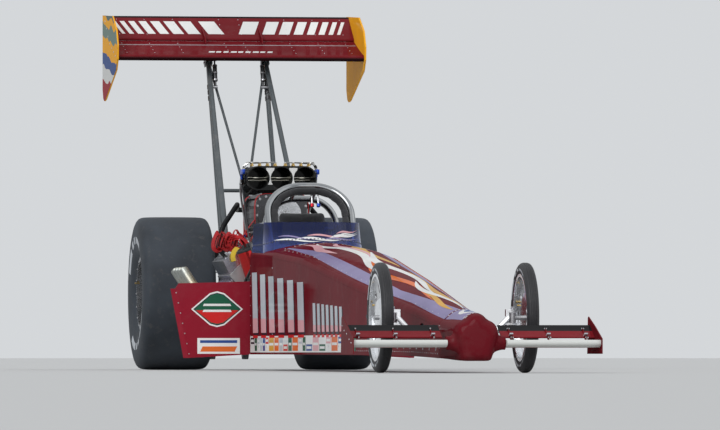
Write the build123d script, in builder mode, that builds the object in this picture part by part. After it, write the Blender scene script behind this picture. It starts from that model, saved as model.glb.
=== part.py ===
from build123d import *
from math import cos, pi, radians, sin
import os

# Rear-engined drag racing car, in millimetres.
# +X is the car's left, -Y its front and +Z up. Lengthwise places are stations: millimetres
# ahead of the rear axle line. The origin lies on the floor, mid-width and mid-length.

# Stance: axle lines, tracks and the ends of the car
wheelbase = 7620
rear_track = 980
front_track = 740
front_overhang = 800
rear_overhang = 1270
nose_tip_station = wheelbase + front_overhang
wing_rear_station = -rear_overhang
mid_station = (nose_tip_station + wing_rear_station) / 2

# Rear wheels and tyres: 36 inch slicks on 16 inch rims
rear_tyre_radius = 457
rear_tyre_width = 440
rear_rim_radius = 203
rear_bead_half_width = 170
rear_lip_height = 9
rear_lip_width = 10
rear_hub_inset = 150
rear_hub_face = rear_track / 2 - rear_hub_inset
brake_disc_x = rear_hub_face - 56
brake_disc_radius = 150
housing_tube_radius = 46
housing_end_x = brake_disc_x - 34
gear_case_front = 170
gear_case_length = 320
rear_axle_z = rear_tyre_radius

# Front wheels and tyres: 22 inch tyres on 17 inch rims
front_tyre_radius = 279
front_tyre_width = 64
front_rim_radius = 216
front_bead_half_width = 22
front_axle_z = front_tyre_radius
kingpin_inset = 64
kingpin_x = front_track / 2 - kingpin_inset
kingpin_radius = 9
spindle_radius = 12
steering_arm_length = 110
tie_rod_radius = 9

# Clearances
seat_gap = 0.3
running_fit = 0.05
panel_gap = 0.6

# Body: shell thickness and the height of the floor under it
shell = 6
body_rear_station = 2048
cowl_front_station = 3000
nose_joint_station = wheelbase + 330
shoulder_radius = 34
lip = 4

# Body sections: station, half width, underside z, shoulder z, rise of the crown over the shoulder
body_sections = (
    (body_rear_station, 290, 92, 690, 34),
    (cowl_front_station, 290, 92, 672, 48),
    (4050, 268, 92, 623, 56),
    (5500, 228, 90, 492, 56),
    (wheelbase - 1020, 182, 88, 391, 54),
    (wheelbase - 270, 148, 83, 323, 52),
    (nose_joint_station, 122, 74, 269, 50),
)

# Nose sections: station, half width, half width and z at the underside, z where the bend of the
# shoulder starts, width and height of that bend, rise of the crown over the shoulder
nose_sections = (
    (nose_joint_station, 122, 122, 74, 235, 34, 34, 50),
    (nose_tip_station - 240, 118, 96, 64, 214, 46, 52, 42),
    (nose_tip_station - 60, 111, 76, 60, 200, 58, 64, 36),
    (nose_tip_station - 18, 100, 66, 66, 194, 58, 60, 32),
    (nose_tip_station, 78, 50, 84, 186, 50, 46, 22),
)

# Cockpit opening, windscreen and driver's place
cockpit_rear_station = body_rear_station + 27
cockpit_front_station = 2790
cockpit_bend_station = cockpit_front_station - 190
cockpit_half_width = 262
opening_floor_z = 560
screen_thickness = 4
screen_top_z = 842
screen_base_z = 660
# Wrap outline: half width, rear station, station where the bend starts, front station
screen_base = (284, cockpit_rear_station, 2540, 2850)
screen_top = (274, cockpit_rear_station, 2510, 2710)
cage_tube_radius = 19

# Frame of round tube
lower_rail_z = 114.3
lower_rail_radius = 16
upper_rail_radius = 19
frame_half_width = 245
brace_radius = 12.5
bulkhead_station = 2020
side_rail_x = 250
side_rail_z = 600
dash_station = 2960
axle_bay_half_width = 175
axle_bay_z = 612
tray_tube_radius = 11
axle_drop = 64
tie_rod_drop = 46

# Engine
crank_z = 390
engine_rear_station = 690
engine_front_station = 1290
bank_angle = 45
deck_distance = 235
head_height = 95
head_half_width = 100
cover_height = 84
blower_base_z = 780
blower_top_z = 1028
blower_half_width = 146
blower_rear_station = 720
blower_front_station = 1270
belt_width = 76
belt_station = 1345
upper_pulley_z = 905
upper_pulley_radius = 92
lower_pulley_radius = 84
belt_thickness = 8
pulley_teeth = 32
pulley_flange = 4
idler_radius = 26
idler_z = 640
idler_arm_radius = 6
hat_wall = 7
hat_base_z = blower_top_z + seat_gap
hat_front_station = 1275
hat_rear_station = 800
bore_radius = 64
bore_spacing = 136
bore_z = 1122
hat_half_width = bore_spacing + bore_radius + hat_wall
hat_top_z = bore_z + bore_radius + hat_wall
hat_lip_z = bore_z - bore_radius - hat_wall
port_spacing = 130
header_radius = 28
header_wall = 2
header_flange_length = 104
header_flange_thickness = 9
# Elbow and open end of a pipe: x, station behind the port, z
header_elbow = (482, -58, 470)
header_end = (548, -142, 588)
plug_well_radius = 17

# Rear wing: half span and the elements' leading edges, chords and angles
wing_half_span = 762
endplate_thickness = 10
wing_elements = (
    # leading edge station, leading edge z, chord, angle in degrees, thickness
    (-520, 1886, 430, 16, 56),
    (-938, 2012, 290, 32.5, 30),
)
endplate_outline = (
    # station, z
    (-560, 1815),
    (-497, 1880),
    (-490, 1960),
    (-560, 2060),
    (-760, 2150),
    (wing_rear_station, 2175),
    (wing_rear_station, 1720),
    (wing_rear_station + 40, 1660),
    (wing_rear_station + 90, 1645),
    (wing_rear_station + 150, 1652),
)
strut_top_station = -750
strut_half_spacing = 175
strut_radius = 15

# Front wing
front_wing_inner_x = 150
front_wing_outer_x = 622
front_wing_station = nose_tip_station - 16
front_wing_z = 150
front_endplate_thickness = 5

# Deflector panels ahead of the rear tyres
deflector_station = bulkhead_station - 4
deflector_thickness = 8
deflector_outer_x = 745

# Wheelie bar
wheelie_station = -1120
wheelie_radius = 50
wheelie_z = 112


# Places and planes
def point(x, station, z):
    return Vector(x, mid_station - station, z)


def across(station):
    """Plane across the car: local x is the car's +X and local y is up."""
    return Plane(origin=(0, mid_station - station, 0), x_dir=(1, 0, 0), z_dir=(0, -1, 0))


def side(x=0):
    """Upright lengthwise plane: local x is the station, local y is up, the normal is -X."""
    return Plane(origin=(x, mid_station, 0), x_dir=(0, -1, 0), z_dir=(-1, 0, 0))


def plan(z=0):
    """Level plane: local x is the car's +X, local y is the station, the normal is -Z."""
    return Plane(origin=(0, mid_station, z), x_dir=(1, 0, 0), z_dir=(0, 0, -1))


def axle_axis(station, z):
    return Axis(point(0, station, z), (1, 0, 0))


# Forms that repeat
def tube(start, end, radius):
    """Round tube between two points, each given as x, station and z."""
    foot = point(*start)
    run = point(*end) - foot
    with Locations(Plane(origin=foot, z_dir=run)):
        Cylinder(radius, run.length, align=(Align.CENTER, Align.CENTER, Align.MIN))


def bent_tube(points, bend_radii, radius, bore=0):
    """Round tube along straight runs joined by bends, solid where it has no bore."""
    with BuildLine() as route:
        FilletPolyline(*[point(*place) for place in points], radius=bend_radii)
    with BuildSketch(Plane(origin=route.line @ 0, z_dir=route.line % 0)) as ring:
        Circle(radius)
        if bore > 0:
            Circle(bore, mode=Mode.SUBTRACT)
    sweep(ring.sketch, path=route.line)


def crossbar(half_width, station, z, radius):
    tube((-half_width, station, z), (half_width, station, z), radius)


def disc_stack(station, z, steps):
    """Turned form about an axle line: each step is inner x, outer x, inner and outer radius."""
    for inner_x, outer_x, hole, rim in steps:
        plane = Plane(origin=point(inner_x, station, z), x_dir=(0, 1, 0), z_dir=(1, 0, 0))
        with BuildSketch(plane) as ring:
            Circle(rim)
            if hole > 0:
                Circle(hole, mode=Mode.SUBTRACT)
        extrude(ring.sketch, amount=outer_x - inner_x)


def interpolate(sections, station):
    """Body section at any station, between its two neighbours in the table."""
    for near, far in zip(sections, sections[1:]):
        if station <= far[0] or far is sections[-1]:
            share = (station - near[0]) / (far[0] - near[0])
            return [a + (b - a) * share for a, b in zip(near, far)]


def tub_section(section):
    """Open-topped section of the belly pan and body sides, one shell thick."""
    station, half, under, shoulder, _ = section
    rim = shoulder - shoulder_radius - lip - panel_gap
    with BuildSketch(across(station)) as face:
        with BuildLine():
            Polyline(
                (-half, rim),
                (-half, under),
                (half, under),
                (half, rim),
                (half - shell, rim),
                (half - shell, under + shell),
                (shell - half, under + shell),
                (shell - half, rim),
                close=True,
            )
        make_face()
    return face.sketch


def crown_section(section, inset=0, foot=0):
    """Crowned section of the top panels: foot line, shoulders and crown."""
    station, half, _, shoulder, rise = section
    edge = half - inset
    bend = shoulder_radius - inset
    rim = shoulder - shoulder_radius
    diagonal = bend * sin(radians(45))
    with BuildSketch(across(station)) as face:
        with BuildLine():
            Polyline((-edge, rim), (-edge, rim - foot), (edge, rim - foot), (edge, rim))
            ThreePointArc(
                (edge, rim),
                (edge - bend + diagonal, rim + diagonal),
                (edge - bend, rim + bend),
            )
            ThreePointArc(
                (edge - bend, rim + bend),
                (0, shoulder + rise - inset),
                (bend - edge, rim + bend),
            )
            ThreePointArc(
                (bend - edge, rim + bend),
                (bend - edge - diagonal, rim + diagonal),
                (-edge, rim),
            )
        make_face()
    return face.sketch


def loft_through(faces, mode=Mode.ADD):
    loft(faces, ruled=True, mode=mode)


def stretch(sections, first, last):
    """The table's sections between two stations, with both ends worked out."""
    inner = [s for s in sections if first < s[0] < last]
    return [interpolate(sections, first), *inner, interpolate(sections, last)]


def wing_section(x, station, z, chord, angle, thickness):
    """Inverted aerofoil on a lengthwise plane: flat side up, leading edge low and forward."""
    back = (-cos(radians(angle)), sin(radians(angle)))
    down = (-sin(radians(angle)), -cos(radians(angle)))

    def at(along, drop):
        return (
            station + back[0] * along + down[0] * drop,
            z + back[1] * along + down[1] * drop,
        )

    nose = thickness / 3
    edge = thickness / 25
    with BuildSketch(side(x)) as face:
        with BuildLine():
            ThreePointArc(at(nose, -nose), at(chord / 2, -nose / 3), at(chord, -edge))
            Line(at(chord, -edge), at(chord, edge))
            ThreePointArc(at(chord, edge), at(chord / 2, thickness - nose), at(nose, nose))
            ThreePointArc(at(nose, nose), at(0, 0), at(nose, -nose))
        make_face()
    return face.sketch


def finish(piece, name):
    piece.part.label = name
    export_step(piece.part, f"parts/{name}.step")
    print(f"{name:20s} solids {len(piece.part.solids()):2d} volume {piece.part.volume / 1e6:9.3f} l")


os.makedirs("parts", exist_ok=True)

# Belly pans and body sides
with BuildPart() as cockpit_tub:
    loft_through([tub_section(s) for s in stretch(body_sections, body_rear_station, cowl_front_station)])
    # Closing wall behind the seat, which is the firewall
    wall = interpolate(body_sections, body_rear_station)
    with BuildSketch(across(body_rear_station)) as firewall:
        with BuildLine():
            Polyline(
                (-wall[1] + 2 * shell, wall[2] + shell),
                (wall[1] - 2 * shell, wall[2] + shell),
                (wall[1] - 2 * shell, wall[3] - shoulder_radius),
                (shell * 2 - wall[1], wall[3] - shoulder_radius),
                close=True,
            )
        make_face()
        for hand in (-1, 1):
            for x, z in ((frame_half_width, lower_rail_z), (side_rail_x, side_rail_z)):
                with Locations((hand * x, z)):
                    Circle(lower_rail_radius + 2 * seat_gap, mode=Mode.SUBTRACT)
    extrude(firewall.sketch, amount=shell)
finish(cockpit_tub, "cockpit_tub")

# Upper body around the cockpit, with the opening cut
with BuildPart() as cowl:
    cowl_sections = stretch(body_sections, body_rear_station, cowl_front_station)
    loft_through([crown_section(s, 0, lip) for s in cowl_sections])
    loft_through([crown_section(s, shell, 2 * shell) for s in cowl_sections], Mode.SUBTRACT)
    with BuildSketch(plan(screen_top_z)) as opening:
        with BuildLine():
            Polyline(
                (-cockpit_half_width, body_rear_station - 1),
                (cockpit_half_width, body_rear_station - 1),
                (cockpit_half_width, cockpit_bend_station),
            )
            ThreePointArc(
                (cockpit_half_width, cockpit_bend_station),
                (0, cockpit_front_station),
                (-cockpit_half_width, cockpit_bend_station),
            )
            Line(
                (-cockpit_half_width, cockpit_bend_station),
                (-cockpit_half_width, body_rear_station - 1),
            )
        make_face()
    extrude(opening.sketch, amount=screen_top_z - opening_floor_z, mode=Mode.SUBTRACT)
finish(cowl, "cowl")

# Windscreen, wrapped round the front of the cockpit and standing on the cowl
def screen_section(shape, z, inset):
    half, rear, bend_station, front = shape
    with BuildSketch(plan(z)) as face:
        with BuildLine():
            ThreePointArc(
                (half - inset, bend_station),
                (0, front - inset),
                (inset - half, bend_station),
            )
            Polyline(
                (inset - half, bend_station),
                (inset - half, rear),
                (half - inset, rear),
                (half - inset, bend_station),
            )
        make_face()
    return face.sketch


with BuildPart() as windscreen:
    for inset, mode in ((0, Mode.ADD), (screen_thickness, Mode.SUBTRACT)):
        low = screen_section(screen_base, screen_base_z, inset)
        high = screen_section(screen_top, screen_top_z, inset)
        loft([low, high], ruled=True, mode=mode)
    screen_height = screen_top_z - screen_base_z
    loft_through([crown_section(s, -seat_gap, screen_height) for s in cowl_sections], Mode.SUBTRACT)
    # The wrap is open at the back
    with Locations(point(0, cockpit_rear_station, screen_top_z)):
        Box(4 * screen_base[0], 3 * screen_thickness, 4 * screen_height, mode=Mode.SUBTRACT)
finish(windscreen, "windscreen")

# Forward body: a removable top over a belly pan, both shells
with BuildPart() as nose_top:
    front_sections = stretch(body_sections, cowl_front_station + panel_gap, nose_joint_station)
    loft_through([crown_section(s, 0, lip) for s in front_sections])
    loft_through([crown_section(s, shell, 2 * shell) for s in front_sections], Mode.SUBTRACT)
finish(nose_top, "nose_top")

with BuildPart() as nose_belly:
    loft_through([tub_section(s) for s in front_sections])
    # Round holes for the front axle and slots for the steering rod
    axle_place = Plane(origin=point(0, wheelbase, front_axle_z - axle_drop), z_dir=(1, 0, 0))
    with BuildSketch(axle_place) as axle_hole:
        Circle(19 + seat_gap)
    extrude(axle_hole.sketch, amount=400, both=True, mode=Mode.SUBTRACT)
    rod_place = Plane(
        origin=point(0, wheelbase - steering_arm_length, front_axle_z - tie_rod_drop),
        x_dir=(0, 1, 0),
        z_dir=(1, 0, 0),
    )
    with BuildSketch(rod_place) as rod_slot:
        SlotOverall(90, 4 * tie_rod_radius)
    extrude(rod_slot.sketch, amount=400, both=True, mode=Mode.SUBTRACT)
finish(nose_belly, "nose_belly")

# Nose: a bluff rounded bill, narrower below
def nose_section(section):
    station, half, low_half, under, rim, bend, height, rise = section
    shoulder = rim + height
    diagonal = sin(radians(45))
    with BuildSketch(across(station)) as face:
        with BuildLine():
            Polyline((-half, rim), (-low_half, under), (low_half, under), (half, rim))
            ThreePointArc(
                (half, rim),
                (half - bend + bend * diagonal, rim + height * diagonal),
                (half - bend, shoulder),
            )
            ThreePointArc((half - bend, shoulder), (0, shoulder + rise), (bend - half, shoulder))
            ThreePointArc(
                (bend - half, shoulder),
                (bend - half - bend * diagonal, rim + height * diagonal),
                (-half, rim),
            )
        make_face()
    return face.sketch


with BuildPart() as nose_cone:
    cone_sections = stretch(nose_sections, nose_joint_station + panel_gap, nose_tip_station)
    loft_through([nose_section(s) for s in cone_sections])
    # Stubs that carry the front wings, each with a collar at its end
    stub_root_x = 60
    collar_width = 10
    stub_reach = front_wing_inner_x - seat_gap - stub_root_x
    from_root = (Align.CENTER, Align.CENTER, Align.MIN)
    for hand in (-1, 1):
        stub_root = point(hand * stub_root_x, front_wing_station - 70, front_wing_z)
        with Locations(Plane(origin=stub_root, z_dir=(hand, 0, 0))):
            Cone(56, 30, stub_reach, align=from_root)
            with Locations((0, 0, stub_reach - collar_width)):
                Cylinder(34, collar_width, align=from_root)
finish(nose_cone, "nose_cone")

# Frame behind the driver: rails, uprights, diagonals, cross tubes and axle plates
rail_stations = (
    # station, half width and z of the upper rail, half width and z of the lower rail
    (-150, axle_bay_half_width, axle_bay_z, axle_bay_half_width, 260),
    (190, axle_bay_half_width, axle_bay_z, axle_bay_half_width, 200),
    (640, frame_half_width, 440, frame_half_width, lower_rail_z),
    (1330, frame_half_width, 440, frame_half_width, lower_rail_z),
    (bulkhead_station, side_rail_x, side_rail_z, frame_half_width, lower_rail_z),
)
cross_tubes = (
    # half width, station, z
    (axle_bay_half_width, -150, axle_bay_z),
    (axle_bay_half_width, -150, 260),
    (axle_bay_half_width, 190, 200),
    (frame_half_width, 640, lower_rail_z),
    (frame_half_width, 1330, lower_rail_z),
    (frame_half_width, bulkhead_station, lower_rail_z),
    (235, 640, 640),
    (side_rail_x, bulkhead_station, side_rail_z),
)
tether_hole_radius = 9
tether_lug_thickness = 14
jack_plate_z = 94
with BuildPart() as chassis_frame:
    for hand in (-1, 1):
        for rear, front in zip(rail_stations, rail_stations[1:]):
            upper_rear = (hand * rear[1], rear[0], rear[2])
            upper_front = (hand * front[1], front[0], front[2])
            lower_rear = (hand * rear[3], rear[0], rear[4])
            lower_front = (hand * front[3], front[0], front[4])
            tube(upper_rear, upper_front, upper_rail_radius)
            tube(lower_rear, lower_front, lower_rail_radius)
            if rear[0] > 0:
                tube(lower_rear, upper_front, brace_radius)
        for station, upper_x, upper_z, lower_x, lower_z in rail_stations:
            tube((hand * lower_x, station, lower_z), (hand * upper_x, station, upper_z), brace_radius)
            with Locations(point(hand * upper_x, station, upper_z)):
                Sphere(upper_rail_radius)
            with Locations(point(hand * lower_x, station, lower_z)):
                Sphere(lower_rail_radius)
        # Upright carrying the foot of the front wing strut
        tube((hand * frame_half_width, 640, 440), (hand * 235, 640, 640), lower_rail_radius)
        # Plate that holds the axle housing
        with BuildSketch(side(hand * axle_bay_half_width)) as axle_plate:
            with Locations((20, rear_axle_z)):
                Rectangle(340, 150)
            with Locations((0, rear_axle_z)):
                Circle(housing_tube_radius + seat_gap, mode=Mode.SUBTRACT)
        extrude(axle_plate.sketch, amount=5, both=True)
        # Tray tube under the parachute packs
        tube((hand * 100, -150, axle_bay_z), (hand * 100, -480, axle_bay_z), tray_tube_radius)
    for half_width, station, z in cross_tubes:
        crossbar(half_width, station, z, brace_radius)
    # Jacking plate, and the lug for the parachute tether or a tow strap
    with Locations(point(0, 640, jack_plate_z + 4)):
        Box(160, 80, 8)
    with BuildSketch(plan(260 + tether_lug_thickness / 2)) as lug:
        with Locations((0, -172)):
            SlotOverall(70, 40, rotation=90)
        with Locations((0, -184)):
            Circle(tether_hole_radius, mode=Mode.SUBTRACT)
    extrude(lug.sketch, amount=tether_lug_thickness)
finish(chassis_frame, "chassis_frame")

# Driver's place: seat, head pad and butterfly yoke
seat_half_width = 180
seat_floor_z = body_sections[0][2] + shell + seat_gap
with BuildPart() as seat:
    # Seat pan and reclined back, cut from one block on its side profile
    with BuildSketch(side(seat_half_width)) as seat_profile:
        with BuildLine():
            Polyline(
                (2104, 640),
                (2104, seat_floor_z),
                (2640, seat_floor_z),
                (2640, 240),
                (2300, 190),
                (2190, 330),
                (2140, 640),
                close=True,
            )
        make_face()
    extrude(seat_profile.sketch, amount=2 * seat_half_width)
    with BuildSketch(side(seat_half_width - 28)) as seat_hollow:
        with BuildLine():
            Polyline(
                (2124, 700),
                (2124, 640),
                (2172, 330),
                (2300, 172),
                (2700, 222),
                (2700, 700),
                close=True,
            )
        make_face()
    extrude(seat_hollow.sketch, amount=2 * (seat_half_width - 28), mode=Mode.SUBTRACT)
finish(seat, "seat")

rear_hoop_station = 2078
pad_station = rear_hoop_station + brace_radius + seat_gap
with BuildPart() as head_pad:
    with BuildSketch(across(pad_station)) as pad_face:
        with Locations((0, 810)):
            RectangleRounded(290, 210, 60)
    extrude(pad_face.sketch, amount=58)
finish(head_pad, "head_pad")

yoke_station = 2700
dash_z = 590
with BuildPart() as steering_yoke:
    tube((0, yoke_station, 620), (0, dash_station - lower_rail_radius - seat_gap, dash_z), 11)
    bent_tube(
        (
            (-60, yoke_station, 570),
            (-140, yoke_station, 570),
            (-140, yoke_station, 670),
            (140, yoke_station, 670),
            (140, yoke_station, 570),
            (60, yoke_station, 570),
        ),
        30,
        10,
    )
    crossbar(140, yoke_station, 620, 9)
finish(steering_yoke, "steering_yoke")

# Roll cage: the rails and hoops round the driver
hoop_half_width = 240
hoop_top_z = 1054
cage_rear_station = bulkhead_station + upper_rail_radius + seat_gap
with BuildPart() as roll_cage:
    for hand in (-1, 1):
        tube(
            (hand * frame_half_width, cage_rear_station, lower_rail_z),
            (hand * frame_half_width, cowl_front_station - 10, lower_rail_z),
            lower_rail_radius,
        )
        tube(
            (hand * side_rail_x, cage_rear_station, side_rail_z),
            (hand * frame_half_width, dash_station, dash_z),
            lower_rail_radius,
        )
        tube((hand * 60, rear_hoop_station, 985), (hand * 60, 2330, hoop_top_z), 14)
    # Front hoop, leaning back over the driver's head
    bent_tube(
        (
            (-hoop_half_width, 2560, lower_rail_z),
            (-hoop_half_width, 2560, 740),
            (-hoop_half_width, 2330, hoop_top_z),
            (hoop_half_width, 2330, hoop_top_z),
            (hoop_half_width, 2560, 740),
            (hoop_half_width, 2560, lower_rail_z),
        ),
        (120, 205, 205, 120),
        cage_tube_radius,
    )
    # Rear hoop behind the head pad, on a cross tube of its own
    bent_tube(
        (
            (-205, rear_hoop_station, lower_rail_z),
            (-205, rear_hoop_station, 985),
            (205, rear_hoop_station, 985),
            (205, rear_hoop_station, lower_rail_z),
        ),
        (165, 165),
        cage_tube_radius,
    )
    crossbar(frame_half_width, rear_hoop_station, lower_rail_z, brace_radius)
    crossbar(side_rail_x, rear_hoop_station, side_rail_z, brace_radius)
    crossbar(205, rear_hoop_station, 810, brace_radius)
    # Dash hoop, which carries the steering column
    bent_tube(
        (
            (-frame_half_width, dash_station, lower_rail_z),
            (-frame_half_width, dash_station, dash_z),
            (frame_half_width, dash_station, dash_z),
            (frame_half_width, dash_station, lower_rail_z),
        ),
        (50, 50),
        lower_rail_radius,
    )
finish(roll_cage, "roll_cage")

# Engine: block on its side, in one section from end to end
def bank_point(along, out):
    """Point of a cylinder bank: outwards from the crank line and sideways along the deck."""
    reach = radians(bank_angle)
    return (
        along * sin(reach) + out * cos(reach),
        crank_z + along * cos(reach) - out * sin(reach),
    )


def mirrored(points):
    return [*points, *[(-x, z) for x, z in reversed(points)]]


def across_block(points, rear, front):
    """Extrude one closed outline, drawn across the car, from the rear station to the front."""
    with BuildSketch(across(rear)) as face:
        with BuildLine():
            Polyline(*points, close=True)
        make_face()
    extrude(face.sketch, amount=front - rear)


pan_rail_z = 315
valley_z = 560
block_deck_half = 66
with BuildPart() as engine_block:
    block_half = (
        (132, pan_rail_z),
        (150, crank_z),
        bank_point(deck_distance, block_deck_half),
        bank_point(deck_distance, -block_deck_half),
        (60, valley_z),
    )
    across_block(mirrored(block_half), engine_rear_station, engine_front_station - 40)
    # Gear case on the front face
    case_half = ((120, pan_rail_z), (170, crank_z), (150, 500), (90, valley_z))
    across_block(mirrored(case_half), engine_front_station - 40, engine_front_station)
    # Motor plates, which hang the engine between the upper rails
    plate_half = frame_half_width - upper_rail_radius - seat_gap
    for station in (engine_rear_station, engine_front_station - 40):
        across_block(mirrored(((plate_half, 420), (plate_half, 460))), station, station + 10)
finish(engine_block, "engine_block")

pan_floor_z = 200
with BuildPart() as oil_pan:
    pan_half = ((95, pan_floor_z), (125, pan_floor_z + 35), (132, pan_rail_z - seat_gap))
    across_block(mirrored(pan_half), engine_rear_station, engine_front_station - 40)
    # Cooling fins under the floor, lengthwise
    with BuildSketch(across(engine_rear_station + 20)) as fins:
        with Locations((0, pan_floor_z)):
            with GridLocations(22, 1, 8, 1):
                Rectangle(5, 28)
    extrude(fins.sketch, amount=engine_front_station - engine_rear_station - 100)
finish(oil_pan, "oil_pan")

with BuildPart() as cylinder_heads:
    for hand in (-1, 1):
        low = deck_distance + seat_gap
        high = low + head_height
        corners = [
            bank_point(low, -head_half_width),
            bank_point(low, head_half_width),
            bank_point(high, head_half_width),
            bank_point(high, -head_half_width),
        ]
        across_block([(hand * x, z) for x, z in corners], engine_rear_station + 10, engine_front_station - 50)
finish(cylinder_heads, "cylinder_heads")

cover_top = deck_distance + head_height + 2 * seat_gap + cover_height
header_ports = [engine_rear_station + 85 + port_spacing * i for i in range(4)]
with BuildPart() as valve_covers:
    for hand in (-1, 1):
        low = cover_top - cover_height
        corners = [
            bank_point(low, 8 - head_half_width),
            bank_point(low, head_half_width - 8),
            bank_point(cover_top, head_half_width - 34),
            bank_point(cover_top, 20 - head_half_width),
        ]
        across_block([(hand * x, z) for x, z in corners], engine_rear_station + 18, engine_front_station - 58)
        # Plug wells along the top, and a rib each side of them
        bank_slope = (hand * sin(radians(bank_angle)), 0, cos(radians(bank_angle)))
        for station in header_ports:
            x, z = bank_point(cover_top, -8)
            with Locations(Plane(origin=point(hand * x, station, z), z_dir=bank_slope)):
                Cylinder(plug_well_radius, 24)
                Cylinder(plug_well_radius - 7, 24, mode=Mode.SUBTRACT)
        for offset in (-58, 42):
            x, z = bank_point(cover_top, offset)
            tube((hand * x, engine_rear_station + 30, z), (hand * x, engine_front_station - 70, z), 5)
finish(valve_covers, "valve_covers")

with BuildPart() as intake_manifold:
    inner_low = bank_point(deck_distance, seat_gap - head_half_width)
    inner_high = bank_point(deck_distance + head_height * 0.8, -head_half_width - seat_gap)
    manifold_half = (
        (60, valley_z + 2),
        (inner_low[0] - 8, inner_low[1] - 8),
        (inner_high[0] - 4, inner_high[1]),
        (118, blower_base_z - 16),
        (blower_half_width, blower_base_z - 16),
        (blower_half_width, blower_base_z - seat_gap),
    )
    across_block(mirrored(manifold_half), blower_rear_station, blower_front_station - 60)
finish(intake_manifold, "intake_manifold")

# Supercharger: a ribbed case for two rotors between end plates, and the drive snout
rotor_spacing = 128
gear_cover_height = 154
end_plate_thickness = 20
rib_height = 7
with BuildPart() as supercharger:
    blower_height = blower_top_z - blower_base_z
    rotor_z = blower_base_z + 0.45 * blower_height
    with BuildSketch(across(blower_rear_station + end_plate_thickness)) as case_section:
        with Locations((0, blower_base_z + blower_height / 2)):
            RectangleRounded(2 * (blower_half_width - rib_height), blower_height, 84)
        with Locations((0, blower_base_z + 14)):
            Rectangle(2 * blower_half_width, 28)
        with Locations((0, blower_top_z - 10)):
            Rectangle(250, 20)
        # Ribs down both sides
        for hand in (-1, 1):
            for rib in range(5):
                rib_x = hand * (blower_half_width - 1.5 * rib_height)
                with Locations((rib_x, blower_base_z + 56 + 30 * rib)):
                    Rectangle(3 * rib_height, 8)
    case_length = blower_front_station - blower_rear_station - 2 * end_plate_thickness
    extrude(case_section.sketch, amount=case_length)
    for station in (blower_rear_station, blower_front_station - end_plate_thickness):
        with BuildSketch(across(station)) as end_plate:
            with Locations((0, blower_base_z + blower_height / 2)):
                RectangleRounded(2 * blower_half_width + 8, blower_height, 62)
        extrude(end_plate.sketch, amount=end_plate_thickness)
    # Bearing caps on the rear plate, gear cover and snout on the front one
    for hand in (-1, 1):
        cap_x = hand * rotor_spacing / 2
        tube((cap_x, blower_rear_station - 12, rotor_z), (cap_x, blower_rear_station, rotor_z), 42)
    with BuildSketch(across(blower_front_station)) as gear_cover:
        with Locations((0, rotor_z + 10)):
            SlotCenterToCenter(rotor_spacing, gear_cover_height)
    extrude(gear_cover.sketch, amount=14)
    snout_end = belt_station - belt_width / 2 - pulley_flange - seat_gap
    tube((0, blower_front_station, upper_pulley_z), (0, snout_end, upper_pulley_z), 60)
finish(supercharger, "supercharger")

# Injector hat: a wide mouth with three round bores, narrowing down to the blower at the back
bore_depth = 230
blade_setback = 165
hat_sections = (
    # station, half width, underside z, top z, corner radius
    (hat_front_station, hat_half_width, hat_lip_z, hat_top_z, bore_radius + hat_wall - 1),
    (hat_front_station - 60, hat_half_width, hat_lip_z, hat_top_z, bore_radius + hat_wall - 1),
    (hat_front_station - bore_depth - 5, hat_half_width, hat_base_z, hat_top_z, 66),
    (920, 158, hat_base_z, 1152, 42),
    (hat_rear_station, 116, hat_base_z, 1082, 24),
)
with BuildPart() as injector_hat:
    hat_faces = []
    for station, half, low, high, corner in hat_sections:
        with BuildSketch(across(station)) as hat_face:
            with Locations((0, (low + high) / 2)):
                RectangleRounded(2 * half, high - low, corner)
        hat_faces.append(hat_face.sketch)
    loft_through(hat_faces)
    # Foot that bolts to the blower
    with Locations(point(0, (hat_rear_station + 1200) / 2, hat_base_z + 9)):
        Box(240, 1200 - hat_rear_station, 18)
    with BuildSketch(across(hat_front_station)) as hat_bores:
        for column in (-1, 0, 1):
            with Locations((column * bore_spacing, bore_z)):
                Circle(bore_radius)
    extrude(hat_bores.sketch, amount=-bore_depth, mode=Mode.SUBTRACT)
    # Butterflies, open, on one shaft through the three bores, with the linkage lever at its end
    shaft_station = hat_front_station - blade_setback
    for column in (-1, 0, 1):
        with Locations(Plane(origin=point(column * bore_spacing, shaft_station, bore_z), z_dir=(0, 0.06, 1))):
            Cylinder(bore_radius + 1, 3)
    crossbar(hat_half_width + 4, shaft_station, bore_z, 5)
    with Locations(point(-hat_half_width - 4, shaft_station, bore_z - 16)):
        Box(6, 14, 46)
finish(injector_hat, "injector_hat")

# Blower drive: two toothed pulleys, the belt round them and the idler that tightens it
def belt_loop(growth):
    """Outline round both pulleys, larger than them by the growth."""
    with BuildSketch(across(belt_station - belt_width / 2)) as loop:
        with Locations((0, upper_pulley_z)):
            Circle(upper_pulley_radius + growth)
        with Locations((0, crank_z)):
            Circle(lower_pulley_radius + growth)
        make_hull()
    return loop.sketch


def toothed_pulley(z, radius, teeth):
    """Pulley with square teeth between two flanges, dished in front."""
    with BuildSketch(across(belt_station - belt_width / 2)) as wheel:
        with Locations((0, z)):
            Circle(radius - 4)
            with PolarLocations(radius - 4, teeth):
                Rectangle(8, pi * radius / teeth)
    extrude(wheel.sketch, amount=belt_width)
    front = belt_station + belt_width / 2
    for station in (belt_station - belt_width / 2 - pulley_flange, front):
        tube((0, station, z), (0, station + pulley_flange, z), radius + 3)
    tube((0, front, z), (0, front + 16, z), 34)


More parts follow.
